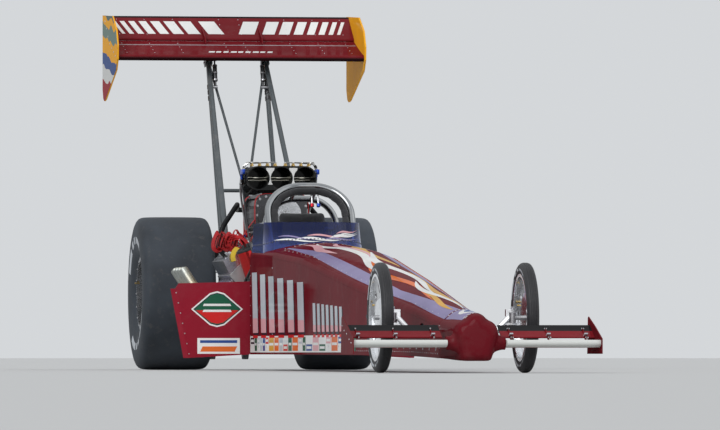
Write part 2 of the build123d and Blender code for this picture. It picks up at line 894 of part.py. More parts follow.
with BuildPart() as blower_drive:
    extrude(belt_loop(belt_thickness), amount=belt_width)
    extrude(belt_loop(0), amount=belt_width, mode=Mode.SUBTRACT)
    toothed_pulley(upper_pulley_z, upper_pulley_radius + running_fit, pulley_teeth)
    toothed_pulley(crank_z, lower_pulley_radius + running_fit, pulley_teeth - 3)
    tube((0, engine_front_station + seat_gap, crank_z), (0, belt_station - belt_width / 2, crank_z), 40)
    # Idler pressed on the belt, on an arm that stands on the gear case
    belt_back = belt_station - belt_width / 2
    idler_x = idler_radius + lower_pulley_radius + belt_thickness + 3
    arm_station = engine_front_station + seat_gap + idler_arm_radius
    tube((80, arm_station, 520), (idler_x, arm_station, idler_z), idler_arm_radius)
    tube((idler_x, arm_station, idler_z), (idler_x, belt_back, idler_z), idler_arm_radius + 3)
    tube((idler_x, belt_back, idler_z), (idler_x, belt_back + belt_width, idler_z), idler_radius)
finish(blower_drive, "blower_drive")

# Exhaust headers: four open pipes a side, each with a flange on the head
with BuildPart() as headers:
    port_x, port_z = bank_point(deck_distance + head_height / 2, head_half_width + seat_gap)
    for hand in (-1, 1):
        port_axis = (hand * sin(radians(bank_angle)), 0, -cos(radians(bank_angle)))
        for station in header_ports:
            bent_tube(
                (
                    (hand * port_x, station, port_z),
                    (hand * (port_x + 45), station, port_z - 45),
                    (hand * header_elbow[0], station + header_elbow[1], header_elbow[2]),
                    (hand * header_end[0], station + header_end[1], header_end[2]),
                ),
                (50, 90),
                header_radius,
                header_radius - header_wall,
            )
            seat = Plane(origin=point(hand * port_x, station, port_z), x_dir=(0, 1, 0), z_dir=port_axis)
            with BuildSketch(seat) as flange:
                SlotOverall(header_flange_length, 2.3 * header_radius)
                Circle(header_radius - header_wall, mode=Mode.SUBTRACT)
            extrude(flange.sketch, amount=header_flange_thickness)
finish(headers, "headers")

magneto_station = engine_front_station + 34
with BuildPart() as magnetos:
    for hand in (-1, 1):
        tube(
            (hand * 146, engine_front_station + seat_gap, 432),
            (hand * 146, magneto_station + 10, 432),
            22,
        )
        tube((hand * 146, magneto_station, 420), (hand * 172, magneto_station, 540), 24)
        tube((hand * 172, magneto_station, 540), (hand * 222, magneto_station, 690), 48)
finish(magnetos, "magnetos")

# Clutch can, coupler and gear case flange, turned about the crank line
with BuildPart() as clutch_housing:
    clutch_profile = (
        # station, radius
        (engine_rear_station - seat_gap, 194),
        (engine_rear_station - 16, 194),
        (engine_rear_station - 20, 182),
        (530, 162),
        (505, 108),
        (470, 92),
        (330, 92),
        (318, 62),
        (gear_case_front + 30, 62),
        (gear_case_front + 26, 96),
        (gear_case_front + seat_gap, 96),
    )
    with BuildSketch(side()) as clutch_half:
        with BuildLine():
            Polyline(
                (clutch_profile[0][0], crank_z),
                *[(station, crank_z + radius) for station, radius in clutch_profile],
                (clutch_profile[-1][0], crank_z),
                close=True,
            )
        make_face()
    revolve(clutch_half.sketch, axis=Axis(point(0, 0, crank_z), (0, 1, 0)))
    # Cooling windows round the can
    for spoke in range(8):
        turn = radians(45 * spoke + 22.5)
        window = point(174 * cos(turn), 606, crank_z + 174 * sin(turn))
        with Locations(Plane(origin=window, x_dir=(0, 1, 0), z_dir=(cos(turn), 0, sin(turn)))):
            Box(84, 40, 30, mode=Mode.SUBTRACT)
finish(clutch_housing, "clutch_housing")

# Rear axle: housing with a through bore, the shaft in it, wheels and slicks
housing_bore = 27
with BuildPart() as axle_housing:
    with BuildSketch(side(110)) as gear_case:
        with Locations((gear_case_front - gear_case_length / 2, rear_axle_z)):
            RectangleRounded(gear_case_length, 262, 90)
    extrude(gear_case.sketch, amount=220)
    # Fins behind the gear case
    for fin in range(-2, 3):
        with Locations(point(36 * fin, gear_case_front - gear_case_length, rear_axle_z)):
            Box(7, 24, 180)
    disc_stack(
        0,
        rear_axle_z,
        (
            (-housing_end_x, housing_end_x, 0, housing_tube_radius),
            (-housing_end_x - 8, 10 - housing_end_x, 0, 84),
            (housing_end_x - 10, housing_end_x + 8, 0, 84),
            (-128, -109, 0, 104),
            (109, 128, 0, 104),
        ),
    )
    bore_plane = Plane(origin=point(-rear_hub_face, 0, rear_axle_z), z_dir=(1, 0, 0))
    with BuildSketch(bore_plane) as bore:
        Circle(housing_bore)
    extrude(bore.sketch, amount=2 * rear_hub_face, mode=Mode.SUBTRACT)
    # Calipers over the front of the brake discs, on ears of the end flanges
    for hand in (-1, 1):
        with Locations(point(hand * (brake_disc_x - 3), 128, rear_axle_z + 20)):
            Box(66, 84, 90)
        with Locations(point(hand * (housing_end_x + 3), 80, rear_axle_z + 10)):
            Box(10, 60, 70)
    for hand in (-1, 1):
        with Locations(point(hand * brake_disc_x, 0, rear_axle_z)):
            Cylinder(brake_disc_radius + 6, 22, rotation=(0, 90, 0), mode=Mode.SUBTRACT)
finish(axle_housing, "axle_housing")

with BuildPart() as axle_shaft:
    disc_stack(
        0,
        rear_axle_z,
        (
            (-rear_hub_face, rear_hub_face, 0, 24),
            (-housing_end_x - 6, 30 - housing_end_x, 0, housing_bore - running_fit),
            (housing_end_x - 30, housing_end_x + 6, 0, housing_bore - running_fit),
            (rear_hub_face - 16, rear_hub_face, 0, 92),
            (-rear_hub_face, 16 - rear_hub_face, 0, 92),
            (brake_disc_x - 6, brake_disc_x + 6, 0, brake_disc_radius),
            (-brake_disc_x - 6, 6 - brake_disc_x, 0, brake_disc_radius),
        ),
    )
finish(axle_shaft, "axle_shaft")


def turned(outline, x, station, z):
    """Turn an outline about an axle line: the outline holds x along the axle and radius."""
    plane = Plane(origin=point(x, station, z), x_dir=(1, 0, 0), z_dir=(0, -1, 0))
    with BuildSketch(plane) as face:
        with BuildLine():
            Polyline(*outline, close=True)
        make_face()
    revolve(face.sketch, axis=axle_axis(station, z))


def wheel_outline(hand, bead, radius, lip_width, lip_height, disc_x, disc_thickness, dish, bore, boss):
    """Rim with two lips and one disc, dished between the hub boss and the barrel."""
    out = bead + lip_width
    barrel = radius - 9
    half_boss = disc_thickness / 2 + boss
    middle = disc_x + disc_thickness / 2
    points = (
        (-out, radius + lip_height),
        (-bead, radius + lip_height),
        (-bead, radius),
        (bead, radius),
        (bead, radius + lip_height),
        (out, radius + lip_height),
        (out, barrel),
        (disc_x + disc_thickness + dish, barrel),
        (disc_x + disc_thickness, 0.5 * barrel),
        (middle + half_boss, 0.42 * barrel),
        (middle + half_boss, bore),
        (disc_x, bore),
        (disc_x, 0.5 * barrel),
        (disc_x + dish, barrel),
        (-out, barrel),
    )
    return [(hand * x, r) for x, r in points]


def lightening_holes(x, station, z, circle, radius, count):
    """Ring of round holes through a wheel disc."""
    plane = Plane(origin=point(x, station, z), x_dir=(0, 1, 0), z_dir=(1, 0, 0))
    with BuildSketch(plane) as holes:
        with PolarLocations(circle, count):
            Circle(radius)
    extrude(holes.sketch, amount=60, both=True, mode=Mode.SUBTRACT)


with BuildPart() as rear_wheels:
    for hand in (-1, 1):
        outline = wheel_outline(
            hand,
            rear_bead_half_width,
            rear_rim_radius - seat_gap,
            rear_lip_width,
            rear_lip_height,
            rear_hub_face + seat_gap - rear_track / 2,
            14,
            16,
            24,
            12,
        )
        turned(outline, hand * rear_track / 2, 0, rear_axle_z)
        lightening_holes(hand * rear_hub_face, 0, rear_axle_z, 138, 24, 10)
        # Ring that locks the outer bead
        bead_ring_x = rear_track / 2 + rear_bead_half_width + rear_lip_width
        disc_stack(
            0,
            rear_axle_z,
            ((min(hand * bead_ring_x, hand * (bead_ring_x + 8)),
              max(hand * bead_ring_x, hand * (bead_ring_x + 8)),
              rear_rim_radius - 9, rear_rim_radius + rear_lip_height + 6),),
        )
finish(rear_wheels, "rear_wheels")


def make_tyre(x, station, z, half_profile):
    """Solid tyre turned from one half of its section, listed from the bead up to the crown."""
    turned([*half_profile, *[(-along, radius) for along, radius in reversed(half_profile)]], x, station, z)


rear_bead = rear_bead_half_width - seat_gap
rear_tyre_profile = (
    # distance from the tyre's middle, radius
    (rear_bead, rear_rim_radius),
    (rear_bead, rear_rim_radius + rear_lip_height + 3),
    (rear_tyre_width / 2 - 8, rear_rim_radius + 80),
    (rear_tyre_width / 2, rear_tyre_radius - 105),
    (rear_tyre_width / 2 - 8, rear_tyre_radius - 36),
    (rear_tyre_width / 2 - 34, rear_tyre_radius - 4),
    (rear_tyre_width / 2 - 90, rear_tyre_radius),
)
front_bead = front_bead_half_width - seat_gap
front_tyre_profile = (
    (front_bead, front_rim_radius),
    (front_bead, front_rim_radius + 8),
    (front_tyre_width / 2, front_tyre_radius - 30),
    (front_tyre_width / 2 - 9, front_tyre_radius - 8),
    (front_tyre_width / 2 - 22, front_tyre_radius),
)
for name, hand in (("left", 1), ("right", -1)):
    with BuildPart() as rear_tyre:
        make_tyre(hand * rear_track / 2, 0, rear_axle_z, rear_tyre_profile)
    finish(rear_tyre, f"rear_tyre_{name}")

# Wing stand: two struts a side, with lugs at the feet and under the wing, and stays between them
lug_reach = 34
stay_radius = 8
stand_bar_z = 1080
rear_foot = (strut_half_spacing, -40, axle_bay_z + upper_rail_radius)
front_foot = (235, 640, 640 + lower_rail_radius)
wing_nose_station, wing_nose_z, main_chord, main_angle, main_thickness = wing_elements[0]
seat_along = (wing_nose_station - strut_top_station) / cos(radians(main_angle))
wing_underside_z = wing_nose_z + seat_along * sin(radians(main_angle)) - main_thickness * 2 / 3
strut_head_z = wing_underside_z - 30
rear_strut_foot_z = rear_foot[2] + lug_reach
bar_share = (stand_bar_z - rear_strut_foot_z) / (strut_head_z - rear_strut_foot_z)
stand_bar_station = rear_foot[1] + bar_share * (strut_top_station - rear_foot[1])
with BuildPart() as wing_struts:
    for hand in (-1, 1):
        head = (hand * strut_half_spacing, strut_top_station, strut_head_z)
        for foot_x, foot_station, foot_z in (rear_foot, front_foot):
            tube((hand * foot_x, foot_station, foot_z + lug_reach), head, strut_radius)
            with Locations(point(hand * foot_x, foot_station, foot_z + seat_gap + lug_reach / 2)):
                Box(10, 44, lug_reach)
        with Locations(point(hand * strut_half_spacing, strut_top_station, wing_underside_z - 14)):
            Box(12, 130, 64)
        # Thin stay from the strut head down to the middle of the crossbar
        tube((hand * stay_radius, stand_bar_station, stand_bar_z), head, stay_radius)
    crossbar(strut_half_spacing, stand_bar_station, stand_bar_z, 11)
    seat_on_wing = wing_section(
        400, wing_nose_station, wing_nose_z - seat_gap, main_chord, main_angle, main_thickness
    )
    extrude(seat_on_wing, amount=800, mode=Mode.SUBTRACT)
finish(wing_struts, "wing_struts")

# Breather tank upright on the crossbar, and a hose to it from each valve cover
tank_radius = 24
tank_low_z = 957
tank_high_z = 1092
vent_cap_radius = 18
vent_cap_low_z = 1166
vent_cap_high_z = 1204
tank_station = stand_bar_station + 11 + seat_gap + tank_radius
hose_radius = 15
hose_station = 1000
cover_x, cover_z = bank_point(cover_top + seat_gap, 12)
with BuildPart() as breather_tank:
    tube((0, tank_station, tank_low_z), (0, tank_station, tank_high_z), tank_radius)
    for z in (tank_low_z, tank_high_z):
        with Locations(point(0, tank_station, z)):
            Sphere(tank_radius)
    # Vent with a filter on top
    tube((0, tank_station, tank_high_z), (0, tank_station, vent_cap_low_z), 9)
    tube((0, tank_station, vent_cap_low_z), (0, tank_station, vent_cap_high_z), vent_cap_radius)
    for z in (vent_cap_low_z, vent_cap_high_z):
        with Locations(point(0, tank_station, z)):
            Sphere(vent_cap_radius)
    for hand in (-1, 1):
        bent_tube(
            (
                (hand * cover_x, hose_station, cover_z),
                (hand * (cover_x + 50), hose_station, cover_z + 50),
                (hand * 302, hose_station - 40, 850),
                (hand * 208, hose_station - 140, 975),
                (hand * 62, tank_station, tank_low_z + 6),
                (hand * (tank_radius - 4), tank_station, tank_low_z + 6),
            ),
            (45, 80, 90, 20),
            hose_radius,
        )
finish(breather_tank, "breather_tank")

# Rear wing: main plane and flap between endplates, tied by a bracket over each pair of struts
bracket_outline = (
    # station, z
    (-850, 1988),
    (-925, 1996),
    (-1030, 2066),
    (-1040, 2086),
    (-1000, 2078),
    (-890, 2030),
)
with BuildPart() as rear_wing:
    reach = wing_half_span - endplate_thickness - seat_gap
    for station, z, chord, angle, thickness in wing_elements:
        extrude(wing_section(reach, station, z, chord, angle, thickness), amount=2 * reach)
    for hand in (-1, 1):
        with BuildSketch(side(hand * strut_half_spacing)) as bracket:
            with BuildLine():
                Polyline(*bracket_outline, close=True)
            make_face()
        extrude(bracket.sketch, amount=4, both=True)
finish(rear_wing, "rear_wing")

with BuildPart() as rear_endplates:
    for hand in (-1, 1):
        with BuildSketch(side(hand * (wing_half_span - endplate_thickness / 2))) as plate:
            with BuildLine():
                Polyline(*endplate_outline, close=True)
            make_face()
        extrude(plate.sketch, amount=endplate_thickness / 2, both=True)
finish(rear_endplates, "rear_endplates")

# Deflector panels, upright across the car, bolted to the bulkhead's uprights
def upright_face_x(z):
    share = (z - lower_rail_z) / (side_rail_z - lower_rail_z)
    return frame_half_width + (side_rail_x - frame_half_width) * share + brace_radius + seat_gap


flange_width = 25
with BuildPart() as deflectors:
    edge_low = (deflector_outer_x - 75 - flange_width, 72)
    edge_high = (deflector_outer_x - flange_width, 470)
    for hand in (-1, 1):
        with BuildSketch(across(deflector_station)) as panel:
            with BuildLine():
                Polyline(
                    (hand * upright_face_x(135), 135),
                    (hand * 290, 92),
                    (hand * edge_low[0], edge_low[1]),
                    (hand * edge_high[0], edge_high[1]),
                    (hand * (edge_high[0] - 20), edge_high[1] + 30),
                    (hand * upright_face_x(512), 512),
                    close=True,
                )
            make_face()
        extrude(panel.sketch, amount=deflector_thickness)
        # Outer edge, bent back
        strip_faces = []
        for set_back, set_out in ((0, 0), (flange_width, flange_width)):
            with BuildSketch(across(deflector_station + deflector_thickness - set_back)) as strip:
                with BuildLine():
                    Polyline(
                        (hand * (edge_low[0] + set_out - 9), edge_low[1]),
                        (hand * (edge_low[0] + set_out), edge_low[1]),
                        (hand * (edge_high[0] + set_out), edge_high[1]),
                        (hand * (edge_high[0] + set_out - 9), edge_high[1]),
                        close=True,
                    )
                make_face()
            strip_faces.append(strip.sketch)
        loft_through(strip_faces)
finish(deflectors, "deflectors")

pack_height = 150
pack_length = 290
pack_rear_station = -490
with BuildPart() as parachute_packs:
    for hand in (-1, 1):
        with BuildSketch(across(pack_rear_station)) as pack_face:
            with Locations((hand * 108, axle_bay_z + tray_tube_radius + seat_gap + pack_height / 2)):
                RectangleRounded(200, pack_height, 40)
        extrude(pack_face.sketch, amount=pack_length)
finish(parachute_packs, "parachute_packs")

wheelie_pin_radius = 8
with BuildPart() as wheelie_bar:
    end_radius = 13
    for hand in (-1, 1):
        for z, rail_radius in ((260, lower_rail_radius), (axle_bay_z, upper_rail_radius)):
            front_end = (
                hand * axle_bay_half_width,
                -150 - rail_radius - seat_gap - end_radius,
                z,
            )
            tube(front_end, (hand * 60, wheelie_station, wheelie_z), 11)
            with Locations(point(*front_end)):
                Sphere(end_radius)
    crossbar(70, wheelie_station, wheelie_z, 20)
    with BuildSketch(Plane(origin=point(0, wheelie_station, wheelie_z), z_dir=(1, 0, 0))) as bore:
        Circle(wheelie_pin_radius + running_fit)
    extrude(bore.sketch, amount=100, both=True, mode=Mode.SUBTRACT)
finish(wheelie_bar, "wheelie_bar")

with BuildPart() as wheelie_wheels:
    disc_stack(
        wheelie_station,
        wheelie_z,
        (
            (-90, 90, 0, wheelie_pin_radius),
            (-120, -85, 0, wheelie_radius),
            (85, 120, 0, wheelie_radius),
        ),
    )
finish(wheelie_wheels, "wheelie_wheels")

# Front axle: a dropped beam through the nose, with a fork for each kingpin
fork_gap = 26
fork_back_x = kingpin_x - 17
with BuildPart() as front_axle:
    bent_tube(
        (
            (-fork_back_x, wheelbase, front_axle_z),
            (60 - fork_back_x, wheelbase, front_axle_z - axle_drop),
            (fork_back_x - 60, wheelbase, front_axle_z - axle_drop),
            (fork_back_x, wheelbase, front_axle_z),
        ),
        (30, 30),
        19,
    )
    for hand in (-1, 1):
        with Locations(point(hand * (kingpin_x - 8), wheelbase, front_axle_z)):
            Box(56, 30, 4 * fork_gap - 20)
        with Locations(point(hand * (kingpin_x + 6), wheelbase, front_axle_z)):
            Box(50, 60, 2 * fork_gap, mode=Mode.SUBTRACT)
        with Locations(point(hand * kingpin_x, wheelbase, front_axle_z)):
            Cylinder(kingpin_radius, 4 * fork_gap - 10)
finish(front_axle, "front_axle")

for name, hand in (("left", 1), ("right", -1)):
    with BuildPart() as knuckle:
        with Locations(point(hand * kingpin_x, wheelbase, front_axle_z)):
            Cylinder(17, 2 * fork_gap - 2 * seat_gap)
        tube(
            (hand * kingpin_x, wheelbase, front_axle_z),
            (hand * (front_track / 2 + 30), wheelbase, front_axle_z),
            spindle_radius,
        )
        arm_end = point(hand * kingpin_x, wheelbase - steering_arm_length, front_axle_z)
        with Locations(point(hand * kingpin_x, wheelbase - steering_arm_length / 2, front_axle_z - 12)):
            Box(16, steering_arm_length, 12)
        with Locations(Plane(origin=arm_end + Vector(0, 0, -12))):
            Cylinder(14, 12)
        with Locations(Plane(origin=arm_end + Vector(0, 0, -40))):
            Cylinder(5, 50)
        with Locations(point(hand * kingpin_x, wheelbase, front_axle_z)):
            Cylinder(kingpin_radius + running_fit, 4 * fork_gap, mode=Mode.SUBTRACT)
    finish(knuckle, f"knuckle_{name}")

with BuildPart() as tie_rod:
    rod_station = wheelbase - steering_arm_length
    rod_z = front_axle_z - tie_rod_drop
    crossbar(kingpin_x, rod_station, rod_z, tie_rod_radius)
    for hand in (-1, 1):
        with Locations(point(hand * kingpin_x, rod_station, rod_z)):
            Cylinder(13, 20)
    for hand, slack in ((1, running_fit), (-1, 0.5)):
        with Locations(point(hand * kingpin_x, rod_station, rod_z)):
            Cylinder(5 + slack, 40, mode=Mode.SUBTRACT)
finish(tie_rod, "tie_rod")

for name, hand in (("left", 1), ("right", -1)):
    with BuildPart() as front_wheel:
        outline = wheel_outline(
            hand,
            front_bead_half_width,
            front_rim_radius - seat_gap,
            5,
            6,
            -6,
            8,
            10,
            spindle_radius + running_fit,
            14,
        )
        turned(outline, hand * front_track / 2, wheelbase, front_axle_z)
        lightening_holes(hand * front_track / 2, wheelbase, front_axle_z, 152, 27, 8)
    finish(front_wheel, f"front_wheel_{name}")
    with BuildPart() as front_tyre:
        make_tyre(hand * front_track / 2, wheelbase, front_axle_z, front_tyre_profile)
    finish(front_tyre, f"front_tyre_{name}")

# Front wing: three elements each side of the nose, tied by ribs, and endplates
front_wing_elements = (
    # setback of the leading edge, rise of the leading edge, chord, angle in degrees, thickness
    (0, 0, 190, 4, 44),
    (182, 26, 86, 24, 12),
    (256, 56, 72, 28, 8),
)
with BuildPart() as front_wing:
    span = front_wing_outer_x - front_wing_inner_x
    for hand in (-1, 1):
        middle = hand * (front_wing_outer_x + front_wing_inner_x) / 2
        for setback, rise, chord, angle, thickness in front_wing_elements:
            leading_edge = front_wing_station - setback
            section = wing_section(middle, leading_edge, front_wing_z + rise, chord, angle, thickness)
            extrude(section, amount=span / 2, both=True)
        for share in (-0.4, 0, 0.4):
            with BuildSketch(side(middle + share * span + 1.5)) as rib:
                with Locations((front_wing_station - 222, front_wing_z + 42)):
                    SlotOverall(150, 20, rotation=156)
            extrude(rib.sketch, amount=3)
finish(front_wing, "front_wing")

front_endplate_outline = (
    # distance behind the nose tip, z
    (0, 96),
    (0, 172),
    (210, 236),
    (388, 283),
    (400, 276),
    (418, 96),
)
with BuildPart() as front_endplates:
    for hand in (-1, 1):
        middle = hand * (front_wing_outer_x + seat_gap + front_endplate_thickness / 2)
        with BuildSketch(side(middle)) as plate:
            with BuildLine():
                Polyline(*[(nose_tip_station - back, z) for back, z in front_endplate_outline], close=True)
            make_face()
        extrude(plate.sketch, amount=front_endplate_thickness / 2, both=True)
finish(front_endplates, "front_endplates")
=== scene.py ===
# %% [markdown]
# # Drag racing car
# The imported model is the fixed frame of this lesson: every solid is already in its place, in
# metres, with +X to the car's left, -Y ahead of the nose and +Z up. Blender only dresses it, so
# each cell adds a finish to a solid or a small piece that sits on one.

# %% Load the frame
from math import cos, pi, radians, sin
from random import Random

import bmesh
import bpy
from mathutils import Matrix, Vector
from mathutils.bvhtree import BVHTree


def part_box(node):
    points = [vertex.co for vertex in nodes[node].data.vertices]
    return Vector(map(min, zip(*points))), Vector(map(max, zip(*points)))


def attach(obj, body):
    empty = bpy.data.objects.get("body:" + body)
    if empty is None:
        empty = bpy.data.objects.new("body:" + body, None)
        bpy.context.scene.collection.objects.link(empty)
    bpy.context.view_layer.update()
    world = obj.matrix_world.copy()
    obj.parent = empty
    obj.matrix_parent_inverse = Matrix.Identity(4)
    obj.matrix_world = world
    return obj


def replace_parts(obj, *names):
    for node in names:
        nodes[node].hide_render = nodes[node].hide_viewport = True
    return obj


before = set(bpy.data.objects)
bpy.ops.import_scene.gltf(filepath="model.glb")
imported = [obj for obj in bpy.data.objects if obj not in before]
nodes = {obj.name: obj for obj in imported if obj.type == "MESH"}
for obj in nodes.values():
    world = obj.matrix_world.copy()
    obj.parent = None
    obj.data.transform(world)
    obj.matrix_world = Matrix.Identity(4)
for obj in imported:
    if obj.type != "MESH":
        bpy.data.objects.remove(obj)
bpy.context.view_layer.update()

scene = bpy.context.scene

# %% [markdown]
# A racing car is measured in stations: millimetres ahead of the rear axle line. One helper turns
# a place given as left, station and height into Blender's metres, so that every later cell can
# speak the same language as the drawings.

# %% Places in the car
MIDDLE_STATION = 3575
CAR = "car_frame"
HANDS = (("left", 1), ("right", -1))


def at(x, station, z):
    """Point from millimetres to the left, ahead of the rear axle and above the floor."""
    return Vector((x, MIDDLE_STATION - station, z)) / 1000


def direction(x, ahead, z):
    return Vector((x, -ahead, z)).normalized()


def turned_by(degrees, axis):
    return Matrix.Rotation(radians(degrees), 4, axis)


def mirrored(side, *places):
    """Route through places of the left side, or through their mirror images with a side of -1."""
    return [at(side * x, station, z) for x, station, z in places]


UP, AHEAD, BACK = (0, 0, 1), direction(0, 1, 0), direction(0, -1, 0)


# %% [markdown]
# The photograph was taken from far away with a long lens, almost at the height of the road and
# a few degrees to the car's right. A 400 mm lens at 48 m flattens the nine-metre body in the
# same way. The camera is held level.

# %% Camera
CAMERA_PLACE = Vector((-6.369, -44.004, 0.10))
CAMERA_AIM = Vector((0.650, 3.575, 0.930))

lens = bpy.data.cameras.new("Long lens")
lens.lens = 400
lens.sensor_width = 36
lens.clip_end = 400
camera = bpy.data.objects.new("Camera", lens)
scene.collection.objects.link(camera)
look = (CAMERA_AIM - CAMERA_PLACE).to_track_quat("-Z", "Y").to_matrix().to_4x4()
camera.matrix_world = Matrix.Translation(CAMERA_PLACE) @ look
scene.camera = camera
scene.view_settings.view_transform = "Standard"

# %% [markdown]
# Finishes are built from nodes. Three small helpers keep those trees short: one adds a node and
# links or sets its inputs by name, one starts a shader, and one gives the place of a surface
# point on the car, which all the grain below is measured in.

# %% Material helpers
def add(material, kind, settings=None, out=0, **inputs):
    """Add a shader node; inputs are values or sockets, and an output socket comes back."""
    made = material.node_tree.nodes.new("ShaderNode" + kind)
    for name, value in (settings or {}).items():
        setattr(made, name, value)
    for name, value in inputs.items():
        key = int(name[1:]) if name[0] == "i" and name[1:].isdigit() else name.replace("_", " ")
        socket = made.inputs[key]
        if isinstance(value, bpy.types.NodeSocket):
            material.node_tree.links.new(value, socket)
        else:
            socket.default_value = value
    return made.outputs[out]


def new_finish(name, **values):
    """Material whose one shader has these fixed values."""
    material = bpy.data.materials.new(name)
    material.use_nodes = True
    shader = material.node_tree.nodes["Principled BSDF"]
    for key, value in values.items():
        shader.inputs[key.replace("_", " ")].default_value = value
    return material


def feed(material, **sockets):
    """Link sockets to inputs of the material's shader."""
    shader = material.node_tree.nodes["Principled BSDF"]
    for key, socket in sockets.items():
        material.node_tree.links.new(socket, shader.inputs[key.replace("_", " ")])


def place_of(material):
    return add(material, "TexCoord", out=3)


def stretched(material, scale):
    return add(material, "Mapping", Vector=place_of(material), Scale=scale)


def grain(material, scale, detail=4.0, vector=None, roughness=0.5):
    vector = vector or place_of(material)
    return add(material, "TexNoise", Vector=vector, Scale=scale, Detail=detail, Roughness=roughness)


def between(material, factor, low, high, span=(0.0, 1.0)):
    """Number that goes from low to high as the factor crosses the span."""
    return add(
        material, "MapRange", Value=factor, From_Min=span[0], From_Max=span[1], To_Min=low, To_Max=high
    )


def maths(material, a, b, operation="ADD"):
    return add(material, "Math", {"operation": operation}, i0=a, i1=b)


def blend_colours(material, factor, first, second, kind="MIX"):
    made = material.node_tree.nodes.new("ShaderNodeMix")
    made.data_type = "RGBA"
    made.blend_type = kind
    for socket, value in ((made.inputs[0], factor), (made.inputs[6], first), (made.inputs[7], second)):
        if isinstance(value, bpy.types.NodeSocket):
            material.node_tree.links.new(value, socket)
        else:
            socket.default_value = value
    return made.outputs[2]


def relief(material, height, depth, strength=1.0):
    """Normal that follows a height of the given depth in metres."""
    return add(material, "Bump", Strength=strength, Distance=depth, Height=height)


def colour(r, g, b):
    return (r, g, b, 1.0)


# %% [markdown]
# Sprayed bodywork is a deep gloss: a clear coat over a colour that is never quite even, with
# faint orange peel, dust lying on it and small stone chips. The same recipe serves
# every painted panel, so it is a function of the colour.

# %% Gloss paint
def gloss_paint(name, base, peel=0.00012, dust=0.08, coat=0.13, rough=0.34):
    material = new_finish(name, Coat_Weight=coat, Coat_Roughness=0.07, Specular_IOR_Level=0.0)
    deep = colour(*base)
    pale = colour(*[min(1, value * 1.3 + 0.001) for value in base])
    clouds = grain(material, 1.7, 3.0)
    tone = blend_colours(material, between(material, clouds, 0, 1, (0.35, 0.7)), deep, pale)
    film = grain(material, 9.0, 6.0, roughness=0.7)
    film = between(material, film, 0, dust, (0.5, 0.85))
    tone = blend_colours(material, film, tone, colour(0.30, 0.27, 0.25))
    speck = add(material, "TexVoronoi", Vector=place_of(material), Scale=140.0)
    chip = between(material, speck, 1, 0, (0.03, 0.06))
    chip = maths(material, chip, between(material, grain(material, 3.1), 0, 1, (0.60, 0.72)), "MULTIPLY")
    tone = blend_colours(material, chip, tone, colour(0.45, 0.42, 0.40))
    skin = grain(material, 220.0, 2.0)
    feed(
        material,
        Base_Color=tone,
        Roughness=between(material, film, rough, rough + 0.25, (0, dust or 1)),
        Normal=relief(material, skin, peel, 0.5),
    )
    return material


# %% [markdown]
# Bare metal shows how it was made. Cast metal is grainy, turned metal has fine rings round its
# axis, brushed metal has long scratches, and polished metal only a few. Stretching the same
# noise along one axis gives all four.

# %% Metals
def bare_metal(name, base, rough, stretch=(1, 1, 1), scale=60.0, depth=0.0002, grime=0.3):
    material = new_finish(name, Metallic=1.0)
    lines = grain(material, scale, 6.0, stretched(material, stretch), 0.6)
    clouds = grain(material, 5.0, 5.0, roughness=0.65)
    worn_tone = colour(*[value * 0.86 for value in base])
    bright_tone = colour(*[min(1, value * 1.1) for value in base])
    tone = blend_colours(material, lines, worn_tone, bright_tone)
    dirt = between(material, clouds, 0, grime, (0.48, 0.75))
    tone = blend_colours(material, dirt, tone, colour(0.05, 0.045, 0.04))
    scratched = between(material, lines, rough * 0.8, rough * 1.25)
    worn = maths(material, scratched, maths(material, dirt, 0.35, "MULTIPLY"))
    feed(material, Base_Color=tone, Roughness=worn, Normal=relief(material, lines, depth, 0.6))
    return material


def cast_metal(name, base, rough=0.5):
    material = new_finish(name, Metallic=1.0)
    sand = grain(material, 320.0, 5.0, roughness=0.7)
    clouds = grain(material, 7.0, 5.0, roughness=0.6)
    tone = blend_colours(material, sand, colour(*[value * 0.75 for value in base]), colour(*base))
    oil = between(material, clouds, 0, 0.55, (0.5, 0.72))
    tone = blend_colours(material, oil, tone, colour(0.035, 0.03, 0.025))
    feed(
        material,
        Base_Color=tone,
        Roughness=between(material, oil, rough, rough * 0.7, (0, 0.55)),
        Normal=relief(material, sand, 0.0006, 0.7),
    )
    return material


print("material helpers ready")

# %% [markdown]
# Soft rubber, woven cloth and plated tube come next. Slick rubber is matt and slightly brown where
# it has been hot; nylon cloth is two crossed sets of threads; chrome is a clean metal with a
# faint haze; and heat turns header steel straw, purple and blue towards the engine.

# %% Rubber, cloth, chrome and heated steel
def rubber(name, base=(0.028, 0.028, 0.03), rough=0.72, scale=40.0):
    material = new_finish(name, Specular_IOR_Level=0.35)
    scuff = grain(material, scale, 6.0, roughness=0.65)
    clouds = grain(material, 3.0, 4.0)
    dusty = colour(*[value * 1.9 + 0.004 for value in base])
    tone = blend_colours(material, between(material, clouds, 0, 1, (0.35, 0.7)), colour(*base), dusty)
    tone = blend_colours(
        material, between(material, scuff, 0, 0.5, (0.55, 0.8)), tone, colour(0.11, 0.10, 0.095)
    )
    fine = grain(material, 500.0, 3.0)
    feed(
        material,
        Base_Color=tone,
        Roughness=between(material, scuff, rough, min(1, rough + 0.2)),
        Normal=relief(material, fine, 0.0003, 0.6),
    )
    return material


